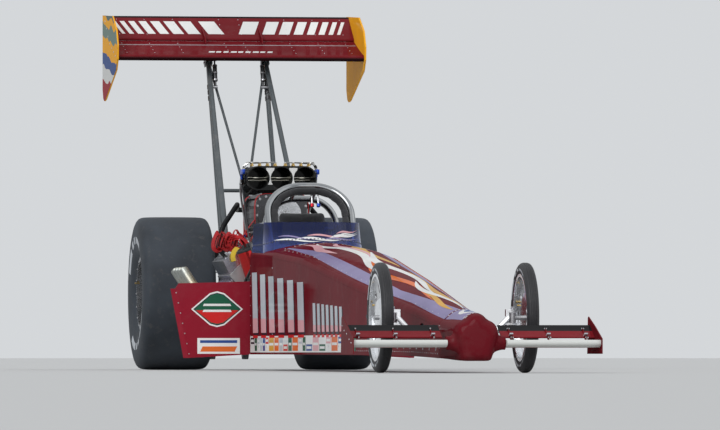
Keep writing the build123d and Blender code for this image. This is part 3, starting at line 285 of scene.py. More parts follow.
def woven(name, base, second=None, threads=900.0, sheen=0.4, rough=0.8):
    """Cloth of two crossed sets of threads."""
    material = new_finish(name, Sheen_Weight=sheen, Sheen_Roughness=0.5, Specular_IOR_Level=0.3)
    waves = []
    for axis in ("X", "Y", "Z"):
        settings = {"wave_type": "BANDS", "bands_direction": axis}
        thread_set = {"Vector": place_of(material), "Scale": threads / 6.28, "Distortion": 0.6, "Detail": 1.0}
        waves.append(add(material, "TexWave", settings, 1, **thread_set))
    weave = maths(material, maths(material, waves[0], waves[1], "MULTIPLY"), waves[2])
    faded = grain(material, 6.0, 5.0)
    gap = colour(*[value * 0.6 for value in base])
    thread = blend_colours(material, between(material, weave, 0, 1, (0, 1.6)), gap, colour(*base))
    sunned = colour(*(second or [value * 1.6 + 0.01 for value in base]))
    tone = blend_colours(material, between(material, faded, 0, 0.6, (0.45, 0.75)), thread, sunned)
    feed(
        material,
        Base_Color=tone,
        Roughness=between(material, faded, rough, min(1, rough + 0.12)),
        Normal=relief(material, weave, 0.0004, 0.7),
    )
    return material


def plated(name, base=(0.78, 0.79, 0.80), haze=0.08):
    material = new_finish(name, Metallic=1.0)
    smear = grain(material, 14.0, 5.0, roughness=0.7)
    pit = grain(material, 260.0, 2.0)
    tone = blend_colours(
        material, between(material, smear, 0, 0.5, (0.5, 0.75)), colour(*base), colour(0.42, 0.40, 0.38)
    )
    feed(
        material,
        Base_Color=tone,
        Roughness=between(material, smear, haze, haze + 0.22, (0.4, 0.8)),
        Normal=relief(material, pit, 0.00005, 0.4),
    )
    return material


def heated_steel(name):
    """Header pipe: grey-green at the open end, straw and blue towards the head."""
    material = new_finish(name, Metallic=1.0)
    across = add(material, "SeparateXYZ", Vector=place_of(material))
    reach = maths(material, across, 0, "ABSOLUTE")
    ripple = between(material, grain(material, 16.0, 4.0), -0.03, 0.03)
    reach = maths(material, reach, ripple)
    made = material.node_tree.nodes.new("ShaderNodeValToRGB")
    material.node_tree.links.new(between(material, reach, 0, 1, (0.29, 0.56)), made.inputs[0])
    tints = (
        (0.0, (0.10, 0.09, 0.10)), (0.22, (0.16, 0.17, 0.30)), (0.45, (0.30, 0.20, 0.22)),
        (0.7, (0.36, 0.30, 0.19)), (1.0, (0.33, 0.35, 0.33)),
    )
    band = made.color_ramp
    band.elements[0].position, band.elements[0].color = tints[0][0], colour(*tints[0][1])
    band.elements[1].position, band.elements[1].color = tints[-1][0], colour(*tints[-1][1])
    for position, tint in tints[1:-1]:
        band.elements.new(position).color = colour(*tint)
    scale = grain(material, 70.0, 6.0, roughness=0.7)
    tone = blend_colours(
        material, between(material, scale, 0, 0.7, (0.5, 0.75)), made.outputs[0], colour(0.08, 0.07, 0.06)
    )
    feed(
        material,
        Base_Color=tone,
        Roughness=between(material, scale, 0.28, 0.55),
        Normal=relief(material, scale, 0.0003, 0.5),
    )
    return material


print("soft and plated finishes ready")

# %% [markdown]
# The windscreen is a thin bent sheet. It is tinted deep blue along its top edge and clear lower
# down, so its tint follows the height, and its gloss is almost perfect but for fine polishing
# marks.

# %% Tinted screen
def tinted_screen(name):
    material = new_finish(name, Transmission_Weight=0.86, IOR=1.3, Roughness=0.03)
    height = add(material, "SeparateXYZ", out=2, Vector=place_of(material))
    fade = between(material, height, 0, 1, (0.70, 0.80))
    fade = maths(material, fade, between(material, grain(material, 8.0, 3.0), -0.12, 0.12))
    tone = blend_colours(material, fade, colour(0.13, 0.20, 0.62), colour(0.006, 0.03, 0.22))
    marks = grain(material, 30.0, 6.0, stretched(material, (1, 1, 0.1)), 0.7)
    feed(material, Base_Color=tone, Normal=relief(material, marks, 0.00005, 0.25))
    return material


# %% [markdown]
# Some solids show several finishes. Where the change follows a plane, a mask is worked out from
# the place on the car: it is 1 beyond a limit along one axis and 0 before it.

# %% Finishes with more than one colour
def along_axis(material, axis):
    return add(material, "SeparateXYZ", out="XYZ".index(axis), Vector=place_of(material))


def beyond(material, axis, limit, soft=0.001, absolute=False, less=False):
    """1 past the limit along an axis, in metres, and 0 before it."""
    value = along_axis(material, axis)
    if absolute:
        value = maths(material, value, 0, "ABSOLUTE")
    mask = between(material, value, 0, 1, (limit - soft, limit + soft))
    return maths(material, 1, mask, "SUBTRACT") if less else mask


def both(material, a, b):
    return maths(material, a, b, "MULTIPLY")


def socket_of(material, name):
    """What feeds an input of the shader now."""
    shader = material.node_tree.nodes["Principled BSDF"].inputs[name]
    return shader.links[0].from_socket if shader.links else shader.default_value


def repaint(material, mask, tone, rough=None, metal=None):
    """Another colour where the mask is 1."""
    under = socket_of(material, "Base Color")
    feed(material, Base_Color=blend_colours(material, mask, under, colour(*tone)))
    for name, value in (("Roughness", rough), ("Metallic", metal)):
        if value is not None:
            kept = both(material, socket_of(material, name), maths(material, 1, mask, "SUBTRACT"))
            feed(material, **{name: maths(material, kept, both(material, mask, value))})


def station_limit(station):
    return (MIDDLE_STATION - station) / 1000


wing_paint = gloss_paint("Wing maroon", (0.14, 0.009, 0.013))
# Below 1.894 m the wing is painted near black: partly a darker leading edge, partly painted shade on the main
# plane's underside.
repaint(wing_paint, beyond(wing_paint, "Z", 1.894, 0.006, less=True), (0.018, 0.004, 0.005))
lip = both(wing_paint, beyond(wing_paint, "Z", 2.158), beyond(wing_paint, "Y", station_limit(-1150)))
repaint(wing_paint, lip, (0.012, 0.008, 0.009))

plate_paint = gloss_paint("Endplate yellow", (0.78, 0.36, 0.018), peel=0.0002, dust=0.12)
outside = beyond(plate_paint, "X", 0.7612, 0.0003, absolute=True)
wander = between(plate_paint, grain(plate_paint, 5.0, 1.0), -0.05, 0.05)
slope = maths(plate_paint, along_axis(plate_paint, "Y"), 0.12, "MULTIPLY")
level = maths(plate_paint, maths(plate_paint, along_axis(plate_paint, "Z"), wander), slope, "SUBTRACT")
for low, high, tone in (
    # low and high edge of a waving band in metres, before its slope, and its colour
    (1.55, 1.60, (0.78, 0.36, 0.018)), (1.47, 1.55, (0.16, 0.22, 0.19)), (1.36, 1.47, (0.78, 0.36, 0.018)),
    (1.28, 1.36, (0.05, 0.09, 0.24)), (1.20, 1.28, (0.60, 0.60, 0.58)), (1.00, 1.20, (0.30, 0.02, 0.03)),
    (1.60, 2.0, (0.10, 0.14, 0.13)),
):
    above = between(plate_paint, level, 0, 1, (low - 0.001, low + 0.001))
    below = between(plate_paint, level, 1, 0, (high - 0.001, high + 0.001))
    band = both(plate_paint, above, below)
    repaint(plate_paint, both(plate_paint, outside, band), tone)

front_paint = gloss_paint("Front wing red", (0.17, 0.009, 0.014))
repaint(front_paint, beyond(front_paint, "Y", station_limit(8352), 0.001, less=True), (0.62, 0.63, 0.60))
# Behind station 8146 the wing is painted near black: partly a dark trailing lip, partly painted shade behind
# it.
repaint(front_paint, beyond(front_paint, "Y", station_limit(8146), 0.001), (0.014, 0.014, 0.015))

hat_paint = gloss_paint("Hat black", (0.013, 0.014, 0.014), dust=0.15)
tall = both(
    hat_paint, beyond(hat_paint, "Z", 1.112, 0.0005), beyond(hat_paint, "Z", 1.132, 0.0005, less=True)
)
wide = beyond(hat_paint, "X", 0.1985, 0.0005, absolute=True, less=True)
deep = both(
    hat_paint, beyond(hat_paint, "Y", station_limit(1182)),
    beyond(hat_paint, "Y", station_limit(1040), less=True),
)
blade = both(hat_paint, tall, both(hat_paint, wide, deep))
repaint(hat_paint, blade, (0.62, 0.60, 0.52), 0.3, 1.0)

belt_drive = rubber("Belt rubber", (0.022, 0.022, 0.024), 0.55)
across = along_axis(belt_drive, "X")
for level, reach in ((0.905, 0.0905), (0.390, 0.0825)):
    height = maths(belt_drive, along_axis(belt_drive, "Z"), level, "SUBTRACT")
    radius = maths(belt_drive, both(belt_drive, across, across), both(belt_drive, height, height))
    pulley = between(
        belt_drive, maths(belt_drive, radius, 0.5, "POWER"), 1, 0, (reach - 0.0005, reach + 0.0005)
    )
    repaint(belt_drive, pulley, (0.60, 0.61, 0.63), 0.24, 1.0)
for station, forward in ((1382.6, True), (1307.4, False)):
    edge = beyond(belt_drive, "Y", station_limit(station), 0.0002, less=forward)
    repaint(belt_drive, edge, (0.60, 0.61, 0.63), 0.24, 1.0)

# %% [markdown]
# Every solid now gets its own finish from the table: each finish stands on the left, the solids
# that take it on the right, and nothing is left in a plain colour.

# %% A finish for every solid
finishes = {
    gloss_paint("Body maroon", (0.115, 0.006, 0.011)): "cockpit_tub cowl nose_top nose_belly nose_cone",
    gloss_paint("Panel red", (0.22, 0.012, 0.024)): "deflectors",
    wing_paint: "rear_wing",
    plate_paint: "rear_endplates",
    front_paint: "front_wing",
    gloss_paint("Front plate maroon", (0.12, 0.007, 0.011)): "front_endplates",
    gloss_paint("Frame black", (0.022, 0.022, 0.025), dust=0.35, coat=0.6): "chassis_frame steering_yoke",
    gloss_paint("Strut grey", (0.075, 0.085, 0.09), dust=0.3, coat=0.4): "wing_struts",
    gloss_paint("Axle black", (0.03, 0.03, 0.032), dust=0.5, coat=0.2, rough=0.45): "axle_housing",
    hat_paint: "injector_hat",
    gloss_paint("Tank black", (0.016, 0.017, 0.018), dust=0.2): "breather_tank",
    tinted_screen("Tinted screen"): "windscreen",
    # The cage chrome is dimmed to a dark grey: a painted dark reflection, standing in for dark surroundings
    # that the studio does not have.
    plated("Cage chrome", (0.27, 0.28, 0.29)): "roll_cage",
    plated("Plated tube", (0.46, 0.47, 0.48)): "wheelie_bar",
    plated("Plated axle", (0.7, 0.7, 0.72), 0.12): "front_axle tie_rod",
    bare_metal("Knuckle steel", (0.42, 0.42, 0.43), 0.4, scale=90.0): "knuckle_left knuckle_right",
    bare_metal("Bucket sheet", (0.62, 0.63, 0.64), 0.35, (1, 1, 12), 40.0): "seat",
    cast_metal("Block alloy", (0.42, 0.42, 0.42), 0.5): "engine_block oil_pan",
    cast_metal("Head alloy", (0.55, 0.55, 0.55), 0.42): "cylinder_heads intake_manifold",
    bare_metal("Cover alloy", (0.74, 0.74, 0.76), 0.22, (1, 0.1, 1), 90.0, grime=0.2): "valve_covers",
    bare_metal("Blower alloy", (0.085, 0.085, 0.09), 0.34, (1, 0.12, 1), 70.0, grime=0.2): "supercharger",
    belt_drive: "blower_drive",
    heated_steel("Header steel"): "headers",
    bare_metal("Magneto caps", (0.50, 0.03, 0.03), 0.3, scale=60.0): "magnetos",
    bare_metal("Can steel", (0.36, 0.36, 0.38), 0.42, (8, 1, 8), 40.0, grime=0.45): "clutch_housing",
    bare_metal("Disc steel", (0.40, 0.39, 0.38), 0.3, scale=160.0): "axle_shaft",
    bare_metal(
        "Wheel alloy", (0.80, 0.81, 0.83), 0.16, scale=30.0, depth=0.0001, grime=0.25
    ): "rear_wheels front_wheel_left front_wheel_right",
    rubber("Slick rubber"): "rear_tyre_left rear_tyre_right",
    rubber("Front rubber", (0.02, 0.02, 0.022), 0.6): "front_tyre_left front_tyre_right",
    rubber("Small wheel rubber", (0.05, 0.05, 0.05), 0.65): "wheelie_wheels",
    woven("Pad cloth", (0.02, 0.02, 0.022)): "head_pad parachute_packs",
}
for material, names in finishes.items():
    for name in names.split():
        nodes[name].data.materials.clear()
        nodes[name].data.materials.append(material)
dressed = [name for names in finishes.values() for name in names.split()]
print("finished", len(dressed), "left out", sorted(set(nodes) - set(dressed)))

# %% [markdown]
# The studio is plain: a pale floor that runs past the camera, and four wide, even lamps. The world
# is bright to the camera and in reflections, but its own light on the car stays low, so that the
# paint keeps its depth.

# %% Floor, world and lamps
def seen_or(tree, seen, unseen):
    """Mix two shaders: one for what the camera, gloss and glass see, one for all other light."""
    path = tree.nodes.new("ShaderNodeLightPath")
    either = tree.nodes.new("ShaderNodeMath")
    either.operation = "MAXIMUM"
    tree.links.new(path.outputs["Is Camera Ray"], either.inputs[0])
    tree.links.new(path.outputs["Is Glossy Ray"], either.inputs[1])
    every = tree.nodes.new("ShaderNodeMath")
    every.operation = "MAXIMUM"
    tree.links.new(either.outputs[0], every.inputs[0])
    tree.links.new(path.outputs["Is Transmission Ray"], every.inputs[1])
    mixed = tree.nodes.new("ShaderNodeMixShader")
    tree.links.new(every.outputs[0], mixed.inputs[0])
    tree.links.new(unseen, mixed.inputs[1])
    tree.links.new(seen, mixed.inputs[2])
    return mixed.outputs[0]


floor_mesh = bpy.data.meshes.new("Floor")
floor_mesh.from_pydata([(-90, -70, 0), (90, -70, 0), (90, 110, 0), (-90, 110, 0)], [], [(0, 1, 2, 3)])
floor = bpy.data.objects.new("Floor", floor_mesh)
scene.collection.objects.link(floor)
pale_floor = new_finish(
    "Pale floor", Base_Color=colour(0.58, 0.58, 0.57), Roughness=0.8, Specular_IOR_Level=0
)
floor_mesh.materials.append(pale_floor)

world = bpy.data.worlds.new("Studio")
world.use_nodes = True
scene.world = world
pale = world.node_tree.nodes["Background"]
pale.inputs[0].default_value = colour(0.66, 0.68, 0.70)
soft = world.node_tree.nodes.new("ShaderNodeBackground")
soft.inputs[0].default_value = colour(0.80, 0.86, 0.95)
soft.inputs[1].default_value = 0.38
sky = seen_or(world.node_tree, pale.outputs[0], soft.outputs[0])
world.node_tree.links.new(sky, world.node_tree.nodes["World Output"].inputs[0])

for name, place, spread, power in (
    # lamp, side it shines from, how wide it looks in degrees, watts a square metre
    ("Key", (-6, -7, 7), 40, 1.62),
    ("Fill", (8, -4, 5), 70, 0.66),
    ("Overhead", (0, 2, 9), 90, 0.55),
    ("Low front", (-2, -9, 1.5), 50, 0.54),
):
    lamp = bpy.data.lights.new(name, "SUN")
    lamp.angle = radians(spread)
    lamp.energy = power
    lit = bpy.data.objects.new(name, lamp)
    scene.collection.objects.link(lit)
    lit.matrix_world = Vector(place).to_track_quat("Z", "Y").to_matrix().to_4x4()
print("stage set")


# %% [markdown]
# Most small parts of a car are turned, bent from rod or tube, or cut from plate. The Piece class
# joins such shapes into one mesh: a lathe for the turned ones, a tube that follows a route, a
# block with worn edges and a plate of any outline. Each shape brings its own finish.

# %% Shapes for small parts
def turned_to(axis, place=(0, 0, 0), twist=0.0):
    """Matrix that lays +Z along an axis at a place."""
    turn = Vector(axis).to_track_quat("Z", "Y").to_matrix().to_4x4()
    return Matrix.Translation(place) @ turn @ Matrix.Rotation(twist, 4, "Z")


def smooth_route(corners, steps=6):
    """Round curve through the corners."""
    ends = [corners[0] * 2 - corners[1], *corners, corners[-1] * 2 - corners[-2]]
    route = []
    for a, b, c, d in zip(ends, ends[1:], ends[2:], ends[3:]):
        for step in range(steps):
            t = step / steps
            square, cubic = a * 2 - b * 5 + c * 4 - d, b * 3 - a - c * 3 + d
            route.append((b * 2 + (c - a) * t + square * t**2 + cubic * t**3) / 2)
    return [*route, corners[-1].copy()]


class Piece:
    """One joined mesh, filled shape by shape."""

    def __init__(self, name, body=CAR):
        self.name, self.body = name, body
        self.points, self.faces, self.slots, self.materials = [], [], [], []

    def add(self, points, faces, material):
        if material not in self.materials:
            self.materials.append(material)
        first = len(self.points)
        self.points += [tuple(point) for point in points]
        self.faces += [[first + corner for corner in face] for face in faces]
        self.slots += [self.materials.index(material)] * len(faces)

    def lathe(self, profile, place, axis, material, steps=24, twist=0.0, closed=False):
        """Turned shape: profile points are (distance along the axis, radius), in metres."""
        turn = turned_to(axis, place, twist)
        rings, points, faces = [], [], []
        for along, radius in profile:
            if radius < 1e-6:
                rings.append([len(points)] * steps)
                points.append(turn @ Vector((0, 0, along)))
                continue
            rings.append(list(range(len(points), len(points) + steps)))
            for step in range(steps):
                angle = 2 * pi * step / steps
                points.append(turn @ Vector((radius * cos(angle), radius * sin(angle), along)))
        if closed:
            rings.append(rings[0])
        for low, high in zip(rings, rings[1:]):
            for step in range(steps):
                after = (step + 1) % steps
                face = [low[step], low[after], high[after], high[step]]
                faces.append(list(dict.fromkeys(face)))
        self.add(points, [face for face in faces if len(face) > 2], material)

    def tube(self, route, radius, material, steps=10):
        """Round bar along a route, with closed ends; the radius may change from point to point."""
        points, faces, ring = [], [], []
        before = None
        radii = radius if isinstance(radius, (list, tuple)) else [radius] * len(route)
        for place, point in enumerate(route):
            ahead = (route[min(place + 1, len(route) - 1)] - route[max(place - 1, 0)]).normalized()
            if before is None:
                side = ahead.cross(Vector(UP) if abs(ahead.z) < 0.9 else Vector((1, 0, 0)))
            else:
                side = before - ahead * before.dot(ahead)
            before = side.normalized()
            other = ahead.cross(before)
            for step in range(steps):
                angle = 2 * pi * step / steps
                out = point + before * (cos(angle) * radii[place])
                points.append(out + other * (sin(angle) * radii[place]))
        for place in range(len(route) - 1):
            for step in range(steps):
                after = (step + 1) % steps
                low, high = place * steps, (place + 1) * steps
                faces.append([low + step, low + after, high + after, high + step])
        faces.append(list(range(steps))[::-1])
        faces.append(list(range(len(points) - steps, len(points))))
        self.add(points, faces, material)

    def block(self, place, size, material, turn=None, edge=0.0015):
        """Box with chamfered edges; size and edge in metres."""
        shape = bmesh.new()
        bmesh.ops.create_cube(shape, size=1.0, matrix=Matrix.Diagonal((*size, 1)))
        if edge:
            bmesh.ops.bevel(shape, geom=shape.edges[:], offset=edge, segments=2, profile=0.6, affect="EDGES")
        move = Matrix.Translation(place) @ (turn or Matrix())
        self.add(
            [move @ point.co for point in shape.verts], [[v.index for v in f.verts] for f in shape.faces],
            material,
        )
        shape.free()

    def plate(self, outline, thick, matrix, material, edge=0.0):
        """Flat plate of any outline in its own XY plane, thick along +Z."""
        shape = bmesh.new()
        face = shape.faces.new([shape.verts.new((u, v, 0)) for u, v in outline])
        if face.calc_area() and face.normal.z < 0:
            face.normal_flip()
        body = bmesh.ops.extrude_face_region(shape, geom=[face])
        moved = [item for item in body["geom"] if isinstance(item, bmesh.types.BMVert)]
        bmesh.ops.translate(shape, verts=moved, vec=(0, 0, thick))
        if edge:
            rim = [item for item in shape.edges if abs(item.verts[0].co.z - item.verts[1].co.z) < 1e-9]
            bmesh.ops.bevel(shape, geom=rim, offset=edge, segments=2, profile=0.6, affect="EDGES")
        bmesh.ops.recalc_face_normals(shape, faces=shape.faces[:])
        shape.verts.index_update()
        self.add(
            [matrix @ point.co for point in shape.verts], [[v.index for v in f.verts] for f in shape.faces],
            material,
        )
        shape.free()

    def bolt(self, place, axis, radius, material, height=None, twist=0.3):
        """Hexagon head with a chamfer on a round washer."""
        height, top = height or radius * 0.75, radius * 0.16
        washer = ((0, 0), (0, radius * 1.35), (top, radius * 1.35), (top, radius))
        self.lathe(washer, place, axis, material, 12)
        head = ((top, radius), (top + height * 0.8, radius), (top + height, radius * 0.82), (top + height, 0))
        self.lathe(head, place, axis, material, 6, twist)

    def rivet(self, place, axis, radius, material):
        self.lathe(((0, radius), (radius * 0.35, radius * 0.8), (radius * 0.5, 0)), place, axis, material, 8)

    def ring(self, half, inner, outer, place, axis, material, steps=20, closed=True):
        """Ring of some half length, inner and outer radius."""
        profile = ((-half, inner), (-half, outer), (half, outer), (half, inner))
        self.lathe(profile, place, axis, material, steps, closed=closed)

    def build(self, sharp=35.0):
        """The finished object, riding on its body; edges past the angle stay sharp."""
        mesh = bpy.data.meshes.new(self.name)
        mesh.from_pydata(self.points, [], self.faces)
        for material in self.materials:
            mesh.materials.append(material)
        mesh.polygons.foreach_set("material_index", self.slots)
        mesh.validate()
        shape = bmesh.new()
        shape.from_mesh(mesh)
        bmesh.ops.recalc_face_normals(shape, faces=shape.faces[:])
        shape.to_mesh(mesh)
        shape.free()
        mesh.shade_smooth()
        mesh.set_sharp_from_angle(angle=radians(sharp))
        made = bpy.data.objects.new(self.name, mesh)
        scene.collection.objects.link(made)
        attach(made, self.body)
        print(self.name, len(mesh.polygons), "faces on", self.body)
        return made


# %% [markdown]
# A drag slick is a soft bag of rubber: a nearly flat tread, rounded shoulders and a thin sidewall
# that bulges past the rim. It is turned from one smooth profile. The narrow front tyres are turned
# the same way, with four fine grooves in the tread.

# %% Tyres
slick_wall = (
    # millimetres from the middle of the tread, radius
    (169.7, 203), (169.7, 208), (171, 214), (177, 219), (186, 228), (196, 243), (206, 264), (213, 288),
    (218, 318),
    (220, 350), (219.5, 377), (217, 401), (212, 421), (205, 436), (196, 446), (184, 451.6), (168, 454.4),
    (140, 455.8), (100, 456.5), (50, 456.9), (0, 457),
)
front_wall = (
    (21.7, 216), (21.7, 220), (23, 224), (26.5, 229), (29.5, 237), (31.4, 247), (30.6, 257), (28, 265),
    (24, 271),
    (19.5, 275), (14.5, 277.4), (13.7, 277.5), (13.3, 275.8), (12.1, 275.8), (11.7, 278.2), (4.8, 279),
    (4.4, 277.2), (3.2, 277.2), (2.8, 279), (0, 279),
)
slick = rubber("Slick rubber", (0.022, 0.027, 0.034), 0.62, 26.0)
road_rubber = rubber("Front rubber", (0.018, 0.018, 0.020), 0.5, 60.0)


def both_sides(wall):
    """Whole profile from one half, bead to bead."""
    whole = [*wall, *((-offset, radius) for offset, radius in wall[-2::-1])]
    return [(offset / 1000, radius / 1000) for offset, radius in whole]


def tyre(name, node, body, wall, finish, steps):
    """Tyre turned about the middle of the solid that it replaces."""
    made = Piece(name, body)
    low, high = (Vector(corner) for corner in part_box(node))
    profile = both_sides(wall)
    inner = [(offset, radius - 0.001) for offset, radius in (profile[-1], profile[0])]
    made.lathe(profile + inner, (low + high) / 2, (1, 0, 0), finish, steps, closed=True)
    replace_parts(made.build(50.0), node)


for hand, side in HANDS:
    tyre(f"rear_slick_{hand}", f"rear_tyre_{hand}", "rear_axle", slick_wall, slick, 160)
    tyre(
        f"front_ribbed_tyre_{hand}", f"front_tyre_{hand}", f"{hand}_front_wheel", front_wall, road_rubber,
        120,
    )

# %% [markdown]
# The two braking parachutes are packed in nylon bags behind the engine, stuffed hard, so every
# side bulges between its seams. Each bag starts as a box of the solid's size, is remeshed finely
# and blown up a little as cloth, and then gets its flap and binding.

# %% Cloth that is stuffed
CLOTH_GRID, CLOTH_PRESSURE, CLOTH_FRAMES = 0.006, 4.0, 20


def settle(made):
    """Replace the mesh by what its modifiers show."""
    shown = made.evaluated_get(bpy.context.evaluated_depsgraph_get())
    mesh = bpy.data.meshes.new_from_object(shown)
    made.modifiers.clear()
    made.data = mesh


def stuffed(name, place, size, material, cap, rounding, turn=None):
    """Bag or cushion: a rounded box blown up as cloth, no point moving more than the cap."""
    shape = bmesh.new()
    bmesh.ops.create_cube(shape, size=1.0, matrix=Matrix.Diagonal((*size, 1)))
    bmesh.ops.bevel(shape, geom=shape.edges[:], offset=rounding, segments=3, profile=0.5, affect="EDGES")
    mesh = bpy.data.meshes.new(name)
    shape.to_mesh(mesh)
    shape.free()
    mesh.materials.append(material)
    made = bpy.data.objects.new(name, mesh)
    scene.collection.objects.link(made)
    remesh = made.modifiers.new("Fine", "REMESH")
    remesh.mode, remesh.voxel_size = "VOXEL", CLOTH_GRID
    settle(made)
    rest = [point.co.copy() for point in made.data.vertices]
    cloth = made.modifiers.new("Cloth", "CLOTH")
    cloth.settings.use_pressure = True
    cloth.settings.uniform_pressure_force = CLOTH_PRESSURE
    cloth.settings.effector_weights.gravity = 0
    for frame_number in range(1, CLOTH_FRAMES + 1):
        scene.frame_set(frame_number)
    settle(made)
    scene.frame_set(1)
    for point, start in zip(made.data.vertices, rest):
        step = point.co - start
        if step.length > cap:
            point.co = start + step.normalized() * cap
    made.data.transform(Matrix.Translation(place) @ (turn or Matrix()))
    made.data.shade_smooth()
    smooth = made.modifiers.new("Smooth", "SMOOTH")
    smooth.iterations = 4
    settle(made)
    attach(made, CAR)
    return made


pack_cloth = woven("Pack cloth", (0.02, 0.02, 0.024), (0.045, 0.045, 0.05))
low, high = (Vector(corner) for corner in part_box("parachute_packs"))
print("packs", [round(v * 1000) for v in low], [round(v * 1000) for v in high])
packs = []
for hand, side in HANDS:
    size = ((high.x - low.x) / 2 - 0.016, high.y - low.y - 0.02, high.z - low.z - 0.02)
    place = Vector((side * (high.x + 0.008) / 2, (low.y + high.y) / 2, (low.z + high.z) / 2))
    packs.append(stuffed(f"parachute_pack_{hand}", place, size, pack_cloth, 0.008, 0.03))
for bag in packs:
    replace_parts(bag, "parachute_packs")

# %% [markdown]
# The nose cone is laid up over a mould and filled by hand, so the steps between its solid's
# sections are faired away here. A fine copy of it is smoothed: not at all at the joint with the
# body, fully from the station where the taper starts, and not beyond 146 mm to each side.

# %% Faired nose cone
cone = nodes["nose_cone"].copy()
cone.data = nodes["nose_cone"].data.copy()
cone.name = "nose_cone_faired"
cone.parent = None
scene.collection.objects.link(cone)
remesh = cone.modifiers.new("Fine", "REMESH")
remesh.mode, remesh.voxel_size = "VOXEL", 0.0045
settle(cone)
shape = bmesh.new()
shape.from_mesh(cone.data)
joint_y, start_y = at(0, 7975, 0).y, at(0, 8120, 0).y
FAIRING_PASSES, FAIRED_HALF, FAIRED_FADE = 36, 0.146, 0.024
for _ in range(FAIRING_PASSES):
    moved = {}
    for point in shape.verts:
        ahead = max((joint_y - point.co.y) / (joint_y - start_y), 0)
        share = min(ahead, 1, max((FAIRED_HALF - abs(point.co.x)) / FAIRED_FADE, 0))
        near = [edge.other_vert(point).co for edge in point.link_edges]
        moved[point] = point.co.lerp(sum(near, Vector()) / len(near), 0.6 * share)
    for point, place in moved.items():
        point.co = place
shape.to_mesh(cone.data)
shape.free()
cone.data.shade_smooth()
cone.data.materials.clear()
cone.data.materials.append(nodes["nose_cone"].data.materials[0])
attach(cone, CAR)
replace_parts(cone, "nose_cone")
skins = {"nose_cone": cone}
print("faired cone", len(cone.data.polygons))

# %% [markdown]
# Paint schemes are laid on as thin vinyl film. A film is cut as a grid of points on the side or
# the top of the car, and every point is dropped straight onto the solid below it, so it follows
# each bend. The film then gets its thickness, and its cut edge shows.

# %% Vinyl film that follows the body
surfaces = {}


def surface_of(*names):
    """Searchable surface of some solids."""
    if names not in surfaces:
        points, faces = [], []
        for name in names:
            mesh = skins.get(name, nodes[name]).data
            first = len(points)
            points += [point.co.copy() for point in mesh.vertices]
            faces += [[first + corner for corner in face.vertices] for face in mesh.polygons]
        surfaces[names] = BVHTree.FromPolygons(points, faces)
    return surfaces[names]


def double_grid(across, deep):
    """Faces of two like grids of points, back to back, closed round their edge."""
    count = across * deep
    faces = []
    for row in range(deep - 1):
        for column in range(across - 1):
            a = row * across + column
            upper = [a, a + 1, a + across + 1, a + across]
            faces += [upper, [count + corner for corner in upper[:1] + upper[:0:-1]]]
    rim = [*range(across), *range(2 * across - 1, count, across)]
    rim += [*range(count - 2, count - across - 1, -1), *range(count - 2 * across, 0, -across)]
    return faces + [[a, b, count + b, count + a] for a, b in zip(rim, rim[1:] + rim[:1])]


def lay_film(made, rows, ray, names, material, lift=0.0009, thick=0.0007):
    """Drop a grid of points along the ray onto the solids; rows are lists of places in the car."""
    ground = surface_of(*names)
    ray = Vector(ray).normalized()
    top, under = [], []
    for row in rows:
        for place in row:
            hit, normal, _, _ = ground.ray_cast(place, ray)
            if hit is None:
                print("a film misses", names, [round(v, 3) for v in place])
                return
            normal = normal if normal.dot(ray) < 0 else -normal
            top.append(hit + normal * lift)
            under.append(hit + normal * (lift - thick))
    made.add(top + under, double_grid(len(rows[0]), len(rows)), material)


def slanted(u, v, wide, tall, lean=0):
    """Corners of a bar whose top edge is set back by the lean."""
    return [(u, v), (u + wide, v), (u + wide - lean, v + tall), (u - lean, v + tall)]


def quad_rows(corners, across, deep):
    """Grid between four corners, given as (u, v) pairs in order round the shape."""
    a, b, c, d = (Vector((*corner, 0)) for corner in corners)
    rows = []
    for j in range(deep + 1):
        low, high = a.lerp(d, j / deep), b.lerp(c, j / deep)
        rows.append([low.lerp(high, i / across) for i in range(across + 1)])
    return rows


def side_film(made, hand, corners, material, names, across=None, deep=None, **film):
    """Film on the side of the car; corners are (station, z)."""
    stations = [corner[0] for corner in corners]
    heights = [corner[1] for corner in corners]
    across = across or max(1, round((max(stations) - min(stations)) / 60))
    deep = deep or max(1, round((max(heights) - min(heights)) / 60))
    rows = [[at(hand * 1200, point.x, point.y) for point in row] for row in quad_rows(corners, across, deep)]
    lay_film(made, rows, (-hand, 0, 0), names, material, **film)


def top_film(made, corners, material, names, across=None, deep=None, **film):
    """Film on the top of the car; corners are (x, station)."""
    xs = [corner[0] for corner in corners]
    stations = [corner[1] for corner in corners]
    across = across or max(1, round((max(xs) - min(xs)) / 22))
    deep = deep or max(1, round((max(stations) - min(stations)) / 60))
    rows = [[at(point.x, point.y, 2500) for point in row] for row in quad_rows(corners, across, deep)]
    lay_film(made, rows, (0, 0, -1), names, material, **film)


def vinyl(name, tone, rough=0.3):
    return gloss_paint(name, tone, dust=0.1, coat=0.25, rough=rough, peel=0.00005)


silver_film = vinyl("Film silver", (0.42, 0.45, 0.48), 0.28)
white_film = vinyl("Film white", (0.66, 0.66, 0.64))
dark_film = vinyl("Film dark", (0.02, 0.02, 0.03))
gold_film = vinyl("Film gold", (0.55, 0.30, 0.05))
orange_film = vinyl("Film orange", (0.62, 0.13, 0.03))
lavender_film = vinyl("Film lavender", (0.22, 0.19, 0.33))
blue_film = vinyl("Film blue", (0.03, 0.07, 0.24))
green_film = vinyl("Film green", (0.015, 0.09, 0.05))
red_film = vinyl("Film red", (0.50, 0.02, 0.02))
pink_film = vinyl("Film pink", (0.60, 0.32, 0.34))
print("films ready")

# %% [markdown]
# Each side of the body carries a row of tall silver bars, a shorter row ahead of them, a pale
# panel with dark chevrons by the front wheel and, along the sill, a strip of small coloured
# patches. All of it is plain shapes.

